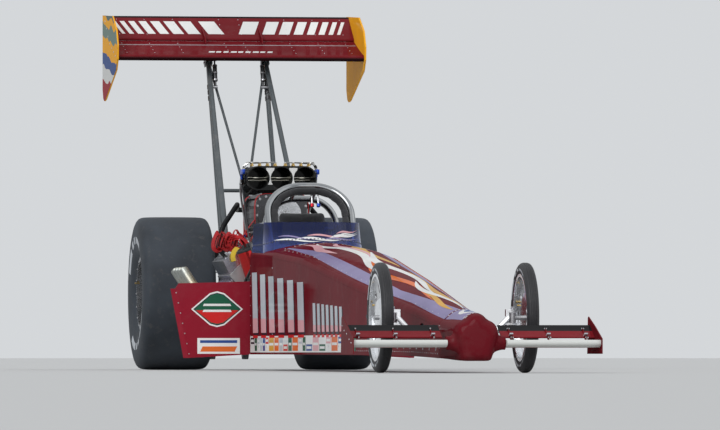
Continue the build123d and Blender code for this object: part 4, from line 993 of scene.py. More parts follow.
# %% Side scheme
SIDES = ("cockpit_tub", "nose_belly")
tall_bars = [(2190 + 345 * step, 205, 215, 560 - 14 * step) for step in range(6)]
short_bars = [(4420 + 140 * step, 78, 215, 372 - 4 * step) for step in range(7)]
patch_tones = (red_film, blue_film, gold_film, silver_film, orange_film, green_film, dark_film, pink_film)
for hand, side in HANDS:
    scheme = Piece(f"side_film_{hand}")
    for station, width, low, high in tall_bars + short_bars:
        tall, lean = high - low, (high - low) * 0.16
        shape = slanted(station, low, width, tall, lean)
        shade = [(u + 26, v - 12) for u, v in shape]
        side_film(scheme, side, shade, dark_film, SIDES, lift=0.0007, thick=0.0006)
        side_film(scheme, side, shape, silver_film, SIDES, lift=0.0013)
        fade = slanted(station, low, width, tall * 0.24, lean * 0.24)
        side_film(scheme, side, fade, pink_film, SIDES, lift=0.0018)
        foot = slanted(station - 8, low - 30, width, 16, -4)
        side_film(scheme, side, foot, red_film, SIDES, lift=0.0016)
    side_film(
        scheme, side, [(5640, 118), (7200, 108), (6980, 326), (5640, 452)], white_film, SIDES, lift=0.0009
    )
    side_film(
        scheme, side, [(5480, 208), (5640, 208), (5640, 452), (5390, 462)], white_film, SIDES, lift=0.0009
    )
    for step in range(3):
        tip = 6020 + 330 * step
        for bend in (slanted(tip, 150, 90, 75, -100), slanted(tip + 100, 225, 90, 75, 100)):
            side_film(scheme, side, bend, dark_film if step < 2 else green_film, SIDES, lift=0.0016)
    side_film(scheme, side, slanted(2062, 104, 3578, 92), white_film, SIDES, lift=0.0008)
    dice = Random(7)
    station = 2090
    while station < 5560:
        width = dice.choice((90, 120, 150, 190))
        low = 112 if dice.random() < 0.6 else 152
        high = 188 if low == 152 or dice.random() < 0.6 else 148
        patch = slanted(station, low, width, high - low)
        side_film(scheme, side, patch, dice.choice(patch_tones), SIDES, lift=0.0015)
        line = slanted(station + 18, (low + high) / 2 - 7, width - 36, 14)
        side_film(scheme, side, line, white_film, SIDES, lift=0.0020)
        station += width + 24
    scheme.build()

# %% [markdown]
# Over the nose run long flowing stripes that taper at both ends. A stripe is a ribbon: its middle
# line waves across the top panel while its width grows and shrinks, and it is dropped onto the
# crown from above.

# %% Flowing stripes on the nose
TOPS = ("cowl", "nose_top", "nose_cone")


def crown_half(station):
    """Half the width of the top between the shoulders, from the body's outline."""
    outline = (
        (2850, 262), (3000, 262), (4050, 240), (5500, 200), (6600, 154), (7350, 118), (7950, 96), (8420, 70)
    )
    for (near, a), (far, b) in zip(outline, outline[1:]):
        if station <= far:
            return a + (b - a) * (station - near) / (far - near)
    return outline[-1][1]


def stripe(made, first, last, middle, wave, turns, phase, width, material, lift, across=4):
    """Waving ribbon between two stations; middle, wave and width are shares of the half width."""
    count = max(4, round((last - first) / 55))
    rows = []
    for step in range(count + 1):
        t = step / count
        station = first + (last - first) * t
        half = crown_half(station)
        line = middle + wave * sin(2 * pi * turns * t + phase)
        reach = width * (sin(pi * min(max(t, 0.02), 0.98)) ** 0.7)
        rows.append(
            [at(half * (line + reach * (2 * i / across - 1)), station, 2500) for i in range(across + 1)]
        )
    lay_film(made, rows, (0, 0, -1), TOPS, material, lift=lift)


flow = Piece("nose_film")
for side in (1, -1):
    # Lavender along both shoulders of the crown: partly the scheme's colour, partly a painted reflection of
    # the sky on the glossy top.
    stripe(flow, 3020, 7930, 0.78 * side, 0.02, 1, 0, 0.17, lavender_film, 0.0007, 5)
    wedge = [(side * 158, 5700), (side * 160, 5700), (side * 94, 7936), (side * 14, 7936)]
    top_film(flow, wedge, lavender_film, TOPS, 6, 36, lift=0.0006)
# Lavender over the top of the tip: partly the scheme's colour, partly a painted reflection of the sky.
top_film(flow, [(-92, 7966), (92, 7966), (66, 8318), (-66, 8318)], lavender_film, TOPS, 12, 12, lift=0.0006)
stripe(flow, 3050, 7900, 0.96, 0.0, 1, 0, 0.03, orange_film, 0.0008)
for first, last, middle, wave, turns, phase, width, material, lift in (
    # first and last station, middle line, wave, turns, phase, width, film, lift
    (3060, 5200, 0.30, 0.16, 1.2, 0.4, 0.16, gold_film, 0.0010),
    (4300, 7000, 0.18, 0.18, 1.4, 2.2, 0.15, white_film, 0.0014),
    (5600, 7800, 0.34, 0.14, 1.1, 0.9, 0.17, gold_film, 0.0010),
    (3200, 5600, -0.20, 0.18, 1.3, 3.4, 0.12, white_film, 0.0014),
    (4700, 7300, -0.28, 0.16, 1.5, 1.2, 0.14, orange_film, 0.0012),
    (6300, 7900, 0.02, 0.20, 1.0, 2.8, 0.13, white_film, 0.0018),
    (3100, 4300, -0.50, 0.10, 1.0, 0.2, 0.10, pink_film, 0.0016),
    (3150, 4700, 0.02, 0.14, 1.2, 1.7, 0.07, pink_film, 0.0018),
    (3080, 4000, 0.62, 0.08, 1.0, 2.0, 0.08, white_film, 0.0018),
    (6900, 7880, -0.34, 0.12, 0.8, 0.6, 0.12, gold_film, 0.0014),
    (2866, 2990, -0.45, 0.05, 0.5, 0.3, 0.10, white_film, 0.0012),
    (2872, 2990, 0.10, 0.05, 0.5, 1.3, 0.12, pink_film, 0.0012),
    (2880, 2990, 0.55, 0.05, 0.5, 2.3, 0.08, white_film, 0.0012),
):
    stripe(flow, first, last, middle, wave, turns, phase, width, material, lift)
stripe(flow, 8010, 8270, 0.0, 0.0, 1, 0, 0.60, white_film, 0.0012, 8)
stripe(flow, 8050, 8225, 0.05, 0.0, 1, 0, 0.34, blue_film, 0.0018, 6)
for row, station in enumerate((8302, 8330)):
    for step in range(7):
        x = (step - 3) * 17 + 5 * row
        top_film(flow, slanted(x - 6, station, 12, 9), white_film, TOPS, lift=0.0010)
flow.build()

# %% [markdown]
# Both wings and the deflector panels have films of their own: slanted white bars across the
# upper band of the rear wing, a row of dashes under them, and on each deflector a bordered
# lozenge over a white plate.

# %% Wing and deflector films
def chord_rows(nose, angle, x_low, x_high, along_low, along_high, lean=0.0, across=3, deep=3):
    """Grid over a wing's upper face; along is millimetres back from the leading edge."""
    turn = radians(angle)
    rows = []
    for j in range(deep + 1):
        along = along_low + (along_high - along_low) * j / deep
        row = []
        for i in range(across + 1):
            x = x_low + (x_high - x_low) * i / across + lean * j / deep
            place = at(x, nose[0] - along * cos(turn), nose[1] + along * sin(turn))
            row.append(place + direction(0, sin(turn), cos(turn)) * 0.2)
        rows.append(row)
    return rows


# leading edge as (station, z) and angle of the rear wing's two elements
MAIN, FLAP = ((-520, 1886), 16), ((-938, 2012), 32.5)
wing_film = Piece("wing_film")
nose, angle = FLAP
ray = direction(0, -sin(radians(angle)), -cos(radians(angle)))
for hand, side in HANDS:
    for reach, width in (
        (44, 98), (190, 76), (292, 66), (384, 56), (466, 46), (538, 37), (600, 28), (653, 20)
    ):
        rows = chord_rows(nose, angle, side * reach, side * (reach + width), 64, 226, side * 46)
        lay_film(wing_film, rows, ray, ("rear_wing",), white_film)
nose, angle = MAIN
ray = direction(0, -sin(radians(angle)), -cos(radians(angle)))
for step in range(9):
    left, width = -190 + 45 * step, 30 if step % 3 else 36
    rows = chord_rows(nose, angle, left, left + width, 96, 142, 10, 2, 2)
    lay_film(wing_film, rows, ray, ("rear_wing",), white_film)
rows = chord_rows(nose, angle, -745, 745, 322, 330, 0, 30, 1)
lay_film(wing_film, rows, ray, ("rear_wing",), silver_film)
wing_film.build()

FACING = Matrix(((1, 0, 0, 0), (0, 0, -1, 0), (0, 1, 0, 0), (0, 0, 0, 1)))


def face_plate(made, outline, station, thick, material):
    """Flat film that faces ahead; outline points are (x, z) and station is its back."""
    place = Matrix.Translation(at(0, station, 0)) @ FACING
    made.plate([(x / 1000, z / 1000) for x, z in outline], thick, place, material)


LOZENGE = (
    (1, 0), (0.28, 0.82), (0, 0.92), (-0.28, 0.82), (-1, 0), (-0.28, -0.82), (0, -0.92), (0.28, -0.82),
)
panel_film = Piece("deflector_film")
for hand, side in HANDS:
    mid_x, mid_z = side * 478, 352
    for reach, tall, material, lift in (
        (150, 112, white_film, 0.0), (138, 102, dark_film, 0.5), (132, 97, green_film, 1.0),
    ):
        lozenge = [(mid_x + reach * u, mid_z + tall * v) for u, v in LOZENGE]
        face_plate(panel_film, lozenge, 2024.2 + lift, 0.0006, material)
    lower = [(mid_x + u, mid_z + v) for u, v in ((124, -6), (36, -76), (0, -84), (-36, -76), (-124, -6))]
    face_plate(panel_film, lower, 2025.7, 0.0006, red_film)
    for shift in (-16, 18):
        half, z = 100 - abs(shift), mid_z + shift
        bar = [(mid_x - half, z), (mid_x + half, z), (mid_x + half - 6, z + 13), (mid_x - half + 6, z + 13)]
        face_plate(panel_film, bar, 2026.4, 0.0006, white_film)
    left = min(side * 346, side * 592)
    face_plate(panel_film, slanted(left, 96, 246, 90), 2024.2, 0.0007, white_film)
    face_plate(panel_film, slanted(left + 16, 158, 214, 16), 2025.0, 0.0005, blue_film)
    face_plate(panel_film, slanted(left + 16, 108, 200, 30, -14), 2025.0, 0.0005, orange_film)
panel_film.build()

# %% [markdown]
# An engine is full of fasteners. Rows of hexagon bolts run along the supercharger's flanges, the
# valve covers, the header flanges and the pan, all the same few sizes, so they are placed by
# loops and joined into one mesh.

# %% Engine fasteners
bolt_steel = bare_metal("Bolt steel", (0.50, 0.50, 0.52), 0.32, scale=120.0, grime=0.35)
black_bolt = bare_metal("Black bolt", (0.09, 0.09, 0.095), 0.4, scale=120.0, grime=0.2)
red_anodised = bare_metal("Red anodised", (0.42, 0.02, 0.03), 0.25, scale=40.0, grime=0.15)
blue_anodised = bare_metal("Blue anodised", (0.03, 0.07, 0.36), 0.25, scale=40.0, grime=0.15)
brass = bare_metal("Brass", (0.62, 0.43, 0.16), 0.3, scale=90.0, grime=0.25)
CRANK_Z, BANK = 390, sin(radians(45))


def bank(hand, along, out, station):
    """Place on a cylinder bank: along its bores, out across it and a station."""
    return at(hand * (along + out) * BANK, station, CRANK_Z + (along - out) * BANK)


def bank_axis(hand):
    return direction(hand, 0, 1)


PORTS = (775, 905, 1035, 1165)
fasteners = Piece("engine_bolts")
for hand, side in HANDS:
    for station in range(750, 1260, 42):
        fasteners.bolt(at(side * 135, station, 808.0), (0, 0, 1), 0.0065, bolt_steel)
        fasteners.bolt(at(side * 118, station, 1028.0), (0, 0, 1), 0.0055, bolt_steel)
    for station in range(722, 1224, 62):
        fasteners.bolt(bank(side, 330.6, 88, station), bank_axis(side), 0.0055, bolt_steel)
        fasteners.bolt(bank(side, 330.6, -88, station), bank_axis(side), 0.0055, bolt_steel)
    for station in PORTS:
        slope = direction(side, 0, -1)
        for shift in (-42, 42):
            fasteners.bolt(bank(side, 282.8, 109.6, station + shift), slope, 0.0065, bolt_steel)
    for station in range(715, 1245, 66):
        fasteners.bolt(at(side * 128, station, 300), (side, 0, 0.15), 0.005, bolt_steel)
        fasteners.bolt(at(side * 146, station, 772), (side, 0, 0), 0.005, bolt_steel)
    for station, facing in ((720, BACK), (1270, AHEAD)):
        for x, z in ((128, 812), (142, 850), (144, 905), (142, 960), (128, 1000), (92, 1014), (36, 1014)):
            fasteners.bolt(at(side * x, station, z), facing, 0.0055, bolt_steel)
for step in range(10):
    turn = 2 * pi * step / 10
    for x in (64, -64):
        fasteners.bolt(at(x + 36 * cos(turn), 708, 892 + 36 * sin(turn)), BACK, 0.0035, bolt_steel)
for step in range(12):
    turn = 2 * pi * step / 12
    fasteners.bolt(at(52 * cos(turn), 1302.6, 905 + 52 * sin(turn)), AHEAD, 0.003, bolt_steel, 0.0006)
for way in (-1, 1):
    for x, z in ((108, 340), (150, 400), (140, 460), (110, 530)):
        fasteners.bolt(at(way * x, 1290, z), AHEAD, 0.006, bolt_steel)
for z, count, reach in ((905, 5, 22), (390, 6, 24)):
    for step in range(count):
        turn = 2 * pi * step / count
        fasteners.bolt(at(reach * cos(turn), 1403, z + reach * sin(turn)), AHEAD, 0.0055, bolt_steel)
    fasteners.lathe(
        ((0, 0.012), (0.010, 0.012), (0.014, 0.008), (0.014, 0)), at(0, 1403, z), AHEAD, bolt_steel, 16
    )
for step in range(16):
    turn = 2 * pi * (step + 0.5) / 16
    fasteners.bolt(at(188 * cos(turn), 690.4, 390 + 188 * sin(turn)), BACK, 0.004, black_bolt, 0.002)
fasteners.build()

# %% [markdown]
# Hoses, cables and leads are flexible. Each is one smooth spline pulled by a few given places: it
# leaves its fitting straight, arches or sags, and goes back into the car.

# %% Hoses, cables and leads
def hose(name, route, diameter, material):
    """Flexible line of one thickness; both its ends go into the car."""
    line = bpy.data.curves.new(name, "CURVE")
    line.dimensions = "3D"
    spline = line.splines.new("NURBS")
    spline.points.add(len(route) - 1)
    for pull, place in zip(spline.points, route):
        pull.co = (*place, 1)
    spline.order_u = 3
    spline.use_endpoint_u = True
    made = bpy.data.objects.new(name, line)
    scene.collection.objects.link(made)
    middle = [point.co for point in bpy.data.meshes.new_from_object(made).vertices]
    line.bevel_depth, line.bevel_resolution, line.use_fill_caps = diameter / 2, 3, True
    line.materials.append(material)
    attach(made, CAR)


# %% [markdown]
# The sparking plug of each cylinder is fed by a thick red lead from one of the two magnetos at the
# front. A lead leaves the round cap, arches over and drops straight into its plug well under a
# rubber boot, and a comb on each side keeps the bunch tidy.

# %% Ignition leads
lead_red = rubber("Lead red", (0.36, 0.006, 0.010), 0.5, 90.0)
boot_black = rubber("Boot black", (0.02, 0.02, 0.022), 0.5, 90.0)
MAGNETO_CAP = (
    (0, 0.046), (0.002, 0.050), (0.012, 0.050), (0.016, 0.046), (0.018, 0.030), (0.026, 0.026), (0.026, 0),
)
leads = Piece("ignition_leads")
for hand, side in HANDS:
    cap = at(side * 222, 1324, 690)
    up = direction(side * 50, 0, 150)
    leads.lathe(MAGNETO_CAP, cap + up * 0.0003, up, boot_black, 32)
    flat = turned_to(up)
    for step, station in enumerate(PORTS[::-1]):
        turn = 2 * pi * step / 8 + (0.9 if side > 0 else -0.2)
        ring = flat.to_3x3() @ Vector((cos(turn) * 0.034, sin(turn) * 0.034, 0))
        start = cap + ring + up * 0.018
        leads.lathe(((0, 0.0075), (0.020, 0.0075), (0.026, 0.0055), (0.026, 0)), start, up, boot_black, 12)
        well = bank(side, 426, -8, station)
        slope = bank_axis(side)
        over = [
            start + up * 0.02, start + up * 0.05 + Vector((side * 0.004, 0.004, 0)),
            at(side * (262 + 9 * step), 1268, 768 + 10 * step),
            at(side * (292 + 6 * step), max(station + 60, 1215), 752 + 9 * step),
        ]
        if station < 1100:
            over.append(at(side * (304 + 5 * step), (station + 1160) / 2, 738 + 8 * step))
        over += [well + slope * 0.065 + Vector((0, -0.022, 0)), well + slope * 0.034, well - slope * 0.004]
        hose(f"ignition_lead_{hand}_{step + 1}", over, 0.0084, lead_red)
        leads.lathe(
            ((0, 0.0088), (0.030, 0.0088), (0.040, 0.0062), (0.040, 0)), well - slope * 0.012, slope,
            boot_black, 14,
        )
    comb = at(side * 306, 1150, 752)
    leads.block(comb, (0.030, 0.010, 0.052), boot_black, turned_by(20 * side, "Y"), 0.003)
leads.build()

# %% [markdown]
# Fuel goes in twice: through nozzles in the hat and through a line to each port. Hard lines fan
# out from a distribution block on each side, and a braided hose feeds them. The throttle lever of
# the hat is pulled by a long cable from the cockpit ahead.

# %% Fuel lines and throttle cable
braid = bare_metal("Braided hose", (0.40, 0.41, 0.42), 0.42, (1, 1, 1), 420.0, 0.0008, 0.35)
black_hose = rubber("Black hose", (0.018, 0.018, 0.02), 0.5, 70.0)
hard_line = bare_metal("Hard line", (0.56, 0.56, 0.55), 0.24, scale=40.0)
fuel = Piece("fuel_lines")


def fitting(made, place, axis, radius, material, length=0.026):
    """Hose end: a hexagon nut and a collar."""
    made.lathe(((0, radius), (length * 0.45, radius), (length * 0.5, radius * 0.8)), place, axis, material, 6)
    made.lathe(
        ((length * 0.5, radius * 0.8), (length, radius * 0.78), (length, 0)), place, axis, material, 16
    )
    made.lathe(((0, 0), (0, radius)), place, axis, material, 6)


for hand, side in HANDS:
    hub = at(side * 170, 1010, 792)
    fuel.block(hub, (0.030, 0.110, 0.026), red_anodised, edge=0.003)
    for step, station in enumerate(PORTS):
        port = bank(side, 318, -104, station + 22)
        out = hub + Vector((side * 0.015, 0.042 - 0.028 * step, -0.004))
        rise = out + Vector((side * 0.016, 0, -0.004))
        fitting(fuel, out, (side, 0, 0), 0.0065, blue_anodised, 0.016)
        line = [
            out + Vector((side * 0.010, 0, 0)), rise, (rise + port) / 2 + Vector((side * 0.010, 0, 0.014)),
            port + Vector((-side * 0.006, 0, 0.018)), port,
        ]
        fuel.tube(smooth_route(line, 6), 0.0028, hard_line, 8)
        fuel.lathe(((-0.008, 0.006), (0.008, 0.006), (0.010, 0.004)), port, direction(-side, 0, 1), brass, 6)
    for row, station in enumerate((1238, 1176)):
        for column in range(4):
            x = side * (30 + 46 * column)
            foot = at(x, station, 1193.2)
            fuel.lathe(
                ((0, 0.0075), (0.007, 0.0075), (0.007, 0.0045), (0.016, 0.0045), (0.016, 0)), foot,
                (0, 0, 1), brass, 6,
            )
            line = [
                foot + Vector((0, 0, 0.014)), foot + Vector((side * 0.012, 0, 0.022)),
                at(side * 196, station - 10, 1204 + 3 * column),
                at(side * 218, station - 12 - 5 * column, 1172),
            ]
            fuel.tube(smooth_route(line, 6), 0.0025, hard_line, 8)
        fuel.block(at(side * 219, station - 20, 1160), (0.018, 0.040, 0.030), blue_anodised, edge=0.003)
        fuel.block(at(side * 209, station - 20, 1152), (0.014, 0.026, 0.018), black_bolt, edge=0.002)
    route = mirrored(
        side, (219, 1150, 1146), (226, 1130, 1100), (212, 1060, 1000), (186, 1022, 900), (174, 1010, 806)
    )
    hose(f"fuel_hose_{hand}", route, 0.0136, braid)
    fitting(fuel, at(side * 219, 1150, 1147), (0, 0, -1), 0.0105, blue_anodised, 0.030)
    fitting(fuel, at(side * 174, 1010, 805), direction(side * 0.1, 0, 1), 0.0105, red_anodised, 0.030)
BORE, POST_X, POST_Z = 64, 68, 1122
for hand, side in HANDS:
    # bright post between two of the hat's round intakes, as wide as they leave it
    rise = list(range(-38, 61, 7))
    half = [min(BORE + 2.5 - (BORE**2 - z**2) ** 0.5, 24) for z in rise]
    post = [(POST_X * side + w, POST_Z + z) for w, z in zip(half, rise)]
    post += [(POST_X * side - w, POST_Z + z) for w, z in zip(half[::-1], rise[::-1])]
    face_plate(fuel, post, 1275.2, 0.0008, hard_line)
lever = at(-214, 1110, 1092)
fuel.lathe(((-0.010, 0.006), (0.004, 0.006), (0.004, 0)), lever, (-1, 0, 0), bolt_steel, 10)
cable = [
    at(-223, 1114, 1092), at(-225, 1180, 1088), at(-228, 1330, 985), at(-234, 1520, 800),
    at(-240, 1780, 676), at(-239, 1960, 640), at(-238, 2050, 632),
]
hose("throttle_cable", cable, 0.0104, black_hose)
fitting(fuel, at(-223, 1108, 1092), AHEAD, 0.0075, bolt_steel, 0.034)
fuel.lathe(((0, 0.013), (0.004, 0.013), (0.014, 0.0065)), at(-238, 2048.5, 632), BACK, boot_black, 16)
fuel.build()

# %% [markdown]
# Nylon restraint straps are laced over the supercharger, so that it stays with the car if it
# bursts. Flat red webbing runs across the top plate behind the hat and down both sides, and its
# slack is folded into a loose bundle beside the case with a yellow pull tag.

# %% Restraint straps
strap_red = woven("Strap red", (0.50, 0.006, 0.01), (0.58, 0.014, 0.018), 1500.0, 0.1, 0.75)
strap_yellow = woven("Strap yellow", (0.80, 0.55, 0.03), (0.86, 0.66, 0.1), 1500.0, 0.4, 0.7)


def webbing(made, route, wide, material, thick=0.0024, facing=None, steps=7):
    """Flat strap along a route; facing is the way its face looks at the start."""
    line = smooth_route(route, steps)
    count = len(line)
    points, faces = [], []
    across = None
    for place, point in enumerate(line):
        ahead = (line[min(place + 1, count - 1)] - line[max(place - 1, 0)]).normalized()
        if across is None:
            across = ahead.cross(facing or Vector((0, 0, 1)))
        across = (across - ahead * across.dot(ahead)).normalized()
        normal = across.cross(ahead)
        for u, v in (
            (-1, -1), (-1, 1), (-0.4, 1.15), (0.4, 1.15), (1, 1), (1, -1), (0.4, -0.85), (-0.4, -0.85)
        ):
            points.append(point + across * (u * wide / 2) + normal * (v * thick / 2))
    for place in range(count - 1):
        for step in range(8):
            a, b = place * 8 + step, place * 8 + (step + 1) % 8
            faces.append([a, b, b + 8, a + 8])
    faces += [list(range(8))[::-1], list(range(count * 8 - 8, count * 8))]
    made.add(points, faces, material)


straps = Piece("restraint_straps")
for station in (775, 1258):
    for hand, side in HANDS:
        route = mirrored(
            side, (30, station, 1030.5), (96, station, 1030.5), (138, station, 1016), (156, station, 975),
            (157, station, 880), (158, station, 800), (176, station - 6, 770), (186, station - 12, 720),
        )
        webbing(straps, route, 0.042, strap_red, facing=Vector((0, 0, 1)))
dice = Random(21)
for hand, side in HANDS:
    for fold in range(11):
        base = at(side * (226 + 12.5 * fold), 1240 - 7 * fold, 738 + 7 * (fold % 3) - 1.5 * fold)
        reach = 0.044 + 0.030 * dice.random()
        sway = 0.030 * (dice.random() - 0.5)
        fold_line = (
            (-0.030, 0.01, -0.022), (-0.008, sway, reach * 0.55), (0.014, -sway, reach),
            (0.034, sway, reach * 0.45),
            (0.038, 0.006, -0.012), (0.012, -0.004, -0.030), (-0.014, 0.006, -0.008),
        )
        route = [base + Vector((side * x, y, z)) for x, y, z in fold_line]
        webbing(straps, route, 0.040, strap_red, facing=Vector((side, 0.2, 0.4)), steps=5)
    tag = at(side * 258, 1262, 716)
    tag_line = ((0, 0, 0), (0.020, -0.010, -0.020), (0.030, -0.012, -0.052), (0.024, -0.012, -0.080))
    route = [tag + Vector((side * x, y, z)) for x, y, z in tag_line]
    webbing(straps, route, 0.034, strap_yellow, facing=Vector((side, -1, 0.2)), steps=5)
    route = mirrored(side, (157, 1258, 880), (190, 1262, 840), (222, 1256, 790), (240, 1240, 752))
    webbing(straps, route, 0.040, strap_red, facing=Vector((side, 0, 0.6)))
straps.build(60)

# %% [markdown]
# In the narrow shell lie two thin quilted pads. Each pad is stuffed like a cushion, and then its
# sewn channels are pressed in across it. The head pad is the same on a smaller scale.

# %% Quilted pads
def quilt(made, channels, along, flat_axis, depth=0.006, reach=0.011):
    """Press sewn channels into a pad; along and flat_axis are vectors of the pad."""
    centre = sum((point.co for point in made.data.vertices), Vector()) / len(made.data.vertices)
    for point in made.data.vertices:
        offset = point.co - centre
        for channel in channels:
            near = abs(offset.dot(along) - channel)
            if near < reach:
                face = 1 if offset.dot(flat_axis) > 0 else -1
                point.co -= flat_axis * (depth * (1 - near / reach) * face)


pad_cloth = woven("Pad cloth", (0.028, 0.028, 0.032), (0.05, 0.05, 0.056), 700.0, 0.35, 0.8)
head_cloth = woven("Head pad cloth", (0.022, 0.022, 0.025), (0.04, 0.04, 0.045), 800.0, 0.3, 0.7)
CHANNELS = (-0.09, -0.045, 0, 0.045, 0.09)
base_turn, back_turn = turned_by(-7.1, "X"), turned_by(-8.8, "X")
base_pad = stuffed(
    "seat_cushion", at(0, 2440, 209), (0.262, 0.270, 0.034), pad_cloth, 0.006, 0.013, base_turn
)
back_pad = stuffed(
    "seat_back_pad", at(0, 2167, 487), (0.262, 0.034, 0.270), pad_cloth, 0.006, 0.013, back_turn
)
quilt(base_pad, CHANNELS, base_turn.to_3x3() @ Vector((0, 1, 0)), base_turn.to_3x3() @ Vector((0, 0, 1)))
quilt(back_pad, CHANNELS, back_turn.to_3x3() @ Vector((0, 0, 1)), back_turn.to_3x3() @ Vector((0, 1, 0)))
low, high = (Vector(corner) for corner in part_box("head_pad"))
size = (high.x - low.x - 0.014, high.y - low.y - 0.012, high.z - low.z - 0.014)
head_cushion = stuffed("head_cushion", (low + high) / 2, size, head_cloth, 0.006, 0.024)
quilt(head_cushion, (-0.07, 0, 0.07), Vector((1, 0, 0)), Vector((0, 1, 0)), 0.005, 0.009)
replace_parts(head_cushion, "head_pad")

# %% [markdown]
# Five belts meet at one round buckle: two over the shoulders, two over the lap and one between
# the legs. They are flat webbing, so each is drawn as a strip that lies along the pads.

# %% Belts
belt_black = woven("Belt webbing", (0.03, 0.03, 0.034), (0.055, 0.055, 0.06), 1300.0, 0.3, 0.65)
belts = Piece("driver_belts")
for hand, side in HANDS:
    over = mirrored(
        side, (60, 2095, 575), (60, 2095, 628), (60, 2110, 652), (60, 2146, 648), (62, 2184, 622),
        (62, 2199, 540), (58, 2212, 450), (50, 2228, 370), (38, 2266, 290), (20, 2320, 244),
        (14, 2334, 240),
    )
    webbing(belts, over, 0.072, belt_black, 0.003, facing=Vector((0, 1, 0)))
    lap = mirrored(
        side, (150, 2262, 196), (146, 2278, 232), (118, 2300, 240), (70, 2328, 236), (28, 2344, 236)
    )
    webbing(belts, lap, 0.048, belt_black, 0.003, facing=Vector((-side, -0.6, 0.3)))
    belts.block(at(side * 62, 2197, 565), (0.082, 0.006, 0.030), bolt_steel, turned_by(-6, "X"), 0.002)
    belts.block(at(side * 92, 2316, 242), (0.030, 0.062, 0.007), bolt_steel, turned_by(12 * side, "Z"), 0.002)
crotch = [at(0, 2596, 214), at(0, 2574, 246), at(0, 2500, 242), at(0, 2420, 236), at(0, 2376, 236)]
webbing(belts, crotch, 0.046, belt_black, 0.003, facing=Vector((0, 0, 1)))
belts.lathe(
    ((0, 0.034), (0.014, 0.036), (0.018, 0.032), (0.020, 0.022), (0.024, 0.020), (0.025, 0)),
    at(0, 2348, 229), direction(0, 0.12, 1), bolt_steel, 32,
)
for step in range(5):
    turn = 2 * pi * step / 5 + pi / 2
    place, square = at(30 * cos(turn), 2348 - 30 * sin(turn), 238), Matrix.Rotation(turn + pi / 2, 4, "Z")
    belts.block(place, (0.014, 0.022, 0.004), red_anodised, square, 0.001)
belts.build(50)

# %% [markdown]
# Thick foam is tied inside the front hoop. It bulges between its ties, so its radius changes along
# the hoop. Two grips on the yoke, the hand brake and the parachute levers finish the cockpit.

# %% Hoop padding and controls
HOOP_LEAN = (2560 - 2330, 1054 - 740)
HOOP_RISE = (HOOP_LEAN[0] ** 2 + HOOP_LEAN[1] ** 2) ** 0.5


def on_hoop(across, rise):
    """Place in the leaning plane of the front hoop."""
    return at(across, 2560 - HOOP_LEAN[0] * rise / HOOP_RISE, 740 + HOOP_LEAN[1] * rise / HOOP_RISE)


inner, crown, bend = 203, HOOP_RISE - 37, 168
route = [on_hoop(inner, 40 + step * (crown - bend - 40) / 8) for step in range(8)]
quarter = [radians(angle) for angle in range(0, 91, 6)]
route += [on_hoop(inner - bend + bend * cos(a), crown - bend + bend * sin(a)) for a in quarter]
mirrored_route = [Vector((-point.x, point.y, point.z)) for point in route[::-1]]
route += mirrored_route[1:]
foam = woven("Hoop foam cover", (0.02, 0.02, 0.022), (0.032, 0.032, 0.036), 900.0, 0.25, 0.75)
radii = [
    0.0205 + 0.0012 * sin(place * 1.7) - (0.0028 if place % 5 == 2 else 0.0) for place in range(len(route))
]
padding = Piece("hoop_padding")
padding.tube(route, radii, foam, 20)
for place in range(2, len(route) - 2, 5):
    ahead = route[place + 1] - route[place - 1]
    padding.ring(0.003, 0.0188, 0.0196, route[place], ahead, boot_black)
hoop_pad = padding.build(60)

grip_rubber = rubber("Grip rubber", (0.018, 0.018, 0.02), 0.55, 160.0)
controls = Piece("driver_controls")
for hand, side in HANDS:
    ribbed = []
    for step in range(15):
        ribbed += [(0.0052 * step, 0.0118), (0.0052 * step + 0.0012, 0.0136), (0.0052 * step + 0.004, 0.0136)]
    controls.lathe(
        [(0, 0.0101), *ribbed, (0.079, 0.0101)], at(side * 140, 2700, 581), (0, 0, 1), grip_rubber, 18
    )
    controls.lathe(
        ((0, 0.008), (0.006, 0.008), (0.008, 0.006), (0.008, 0)), at(side * 132, 2692, 668),
        direction(0, -1, 0.5), red_anodised, 12,
    )
controls.lathe(
    ((0, 0.030), (0.004, 0.034), (0.010, 0.034), (0.014, 0.028), (0.014, 0)), at(0, 2697, 620), BACK,
    boot_black, 24,
)
lever = [at(-205, 2560, 250), at(-207, 2540, 400), at(-208, 2500, 560)]
controls.tube(smooth_route(lever, 5), 0.008, black_bolt, 10)
controls.lathe(
    ((0, 0.0125), (0.008, 0.0145), (0.10, 0.0135), (0.112, 0.009), (0.112, 0)), at(-208, 2520, 500),
    direction(0, -0.4, 1), grip_rubber, 16,
)
for side, tone in ((26, red_anodised), (62, blue_anodised)):
    foot = at(side, 2336, 1034)
    controls.tube(
        [foot, foot + Vector((0, -0.008, -0.05)), foot + Vector((0, -0.020, -0.085))], 0.0045, bolt_steel, 8
    )
    controls.lathe(
        ((0, 0.008), (0.003, 0.011), (0.020, 0.011), (0.024, 0)), foot + Vector((0, -0.019, -0.080)),
        direction(0, 0.3, -1), tone, 14,
    )
controls.build()

# %% [markdown]
# The wheels are held by a single ring of lug nuts behind a hub cap. Small bolts round the rim
# clamp the tyre's bead, and a valve stands near it. Each set rides on its own wheel.

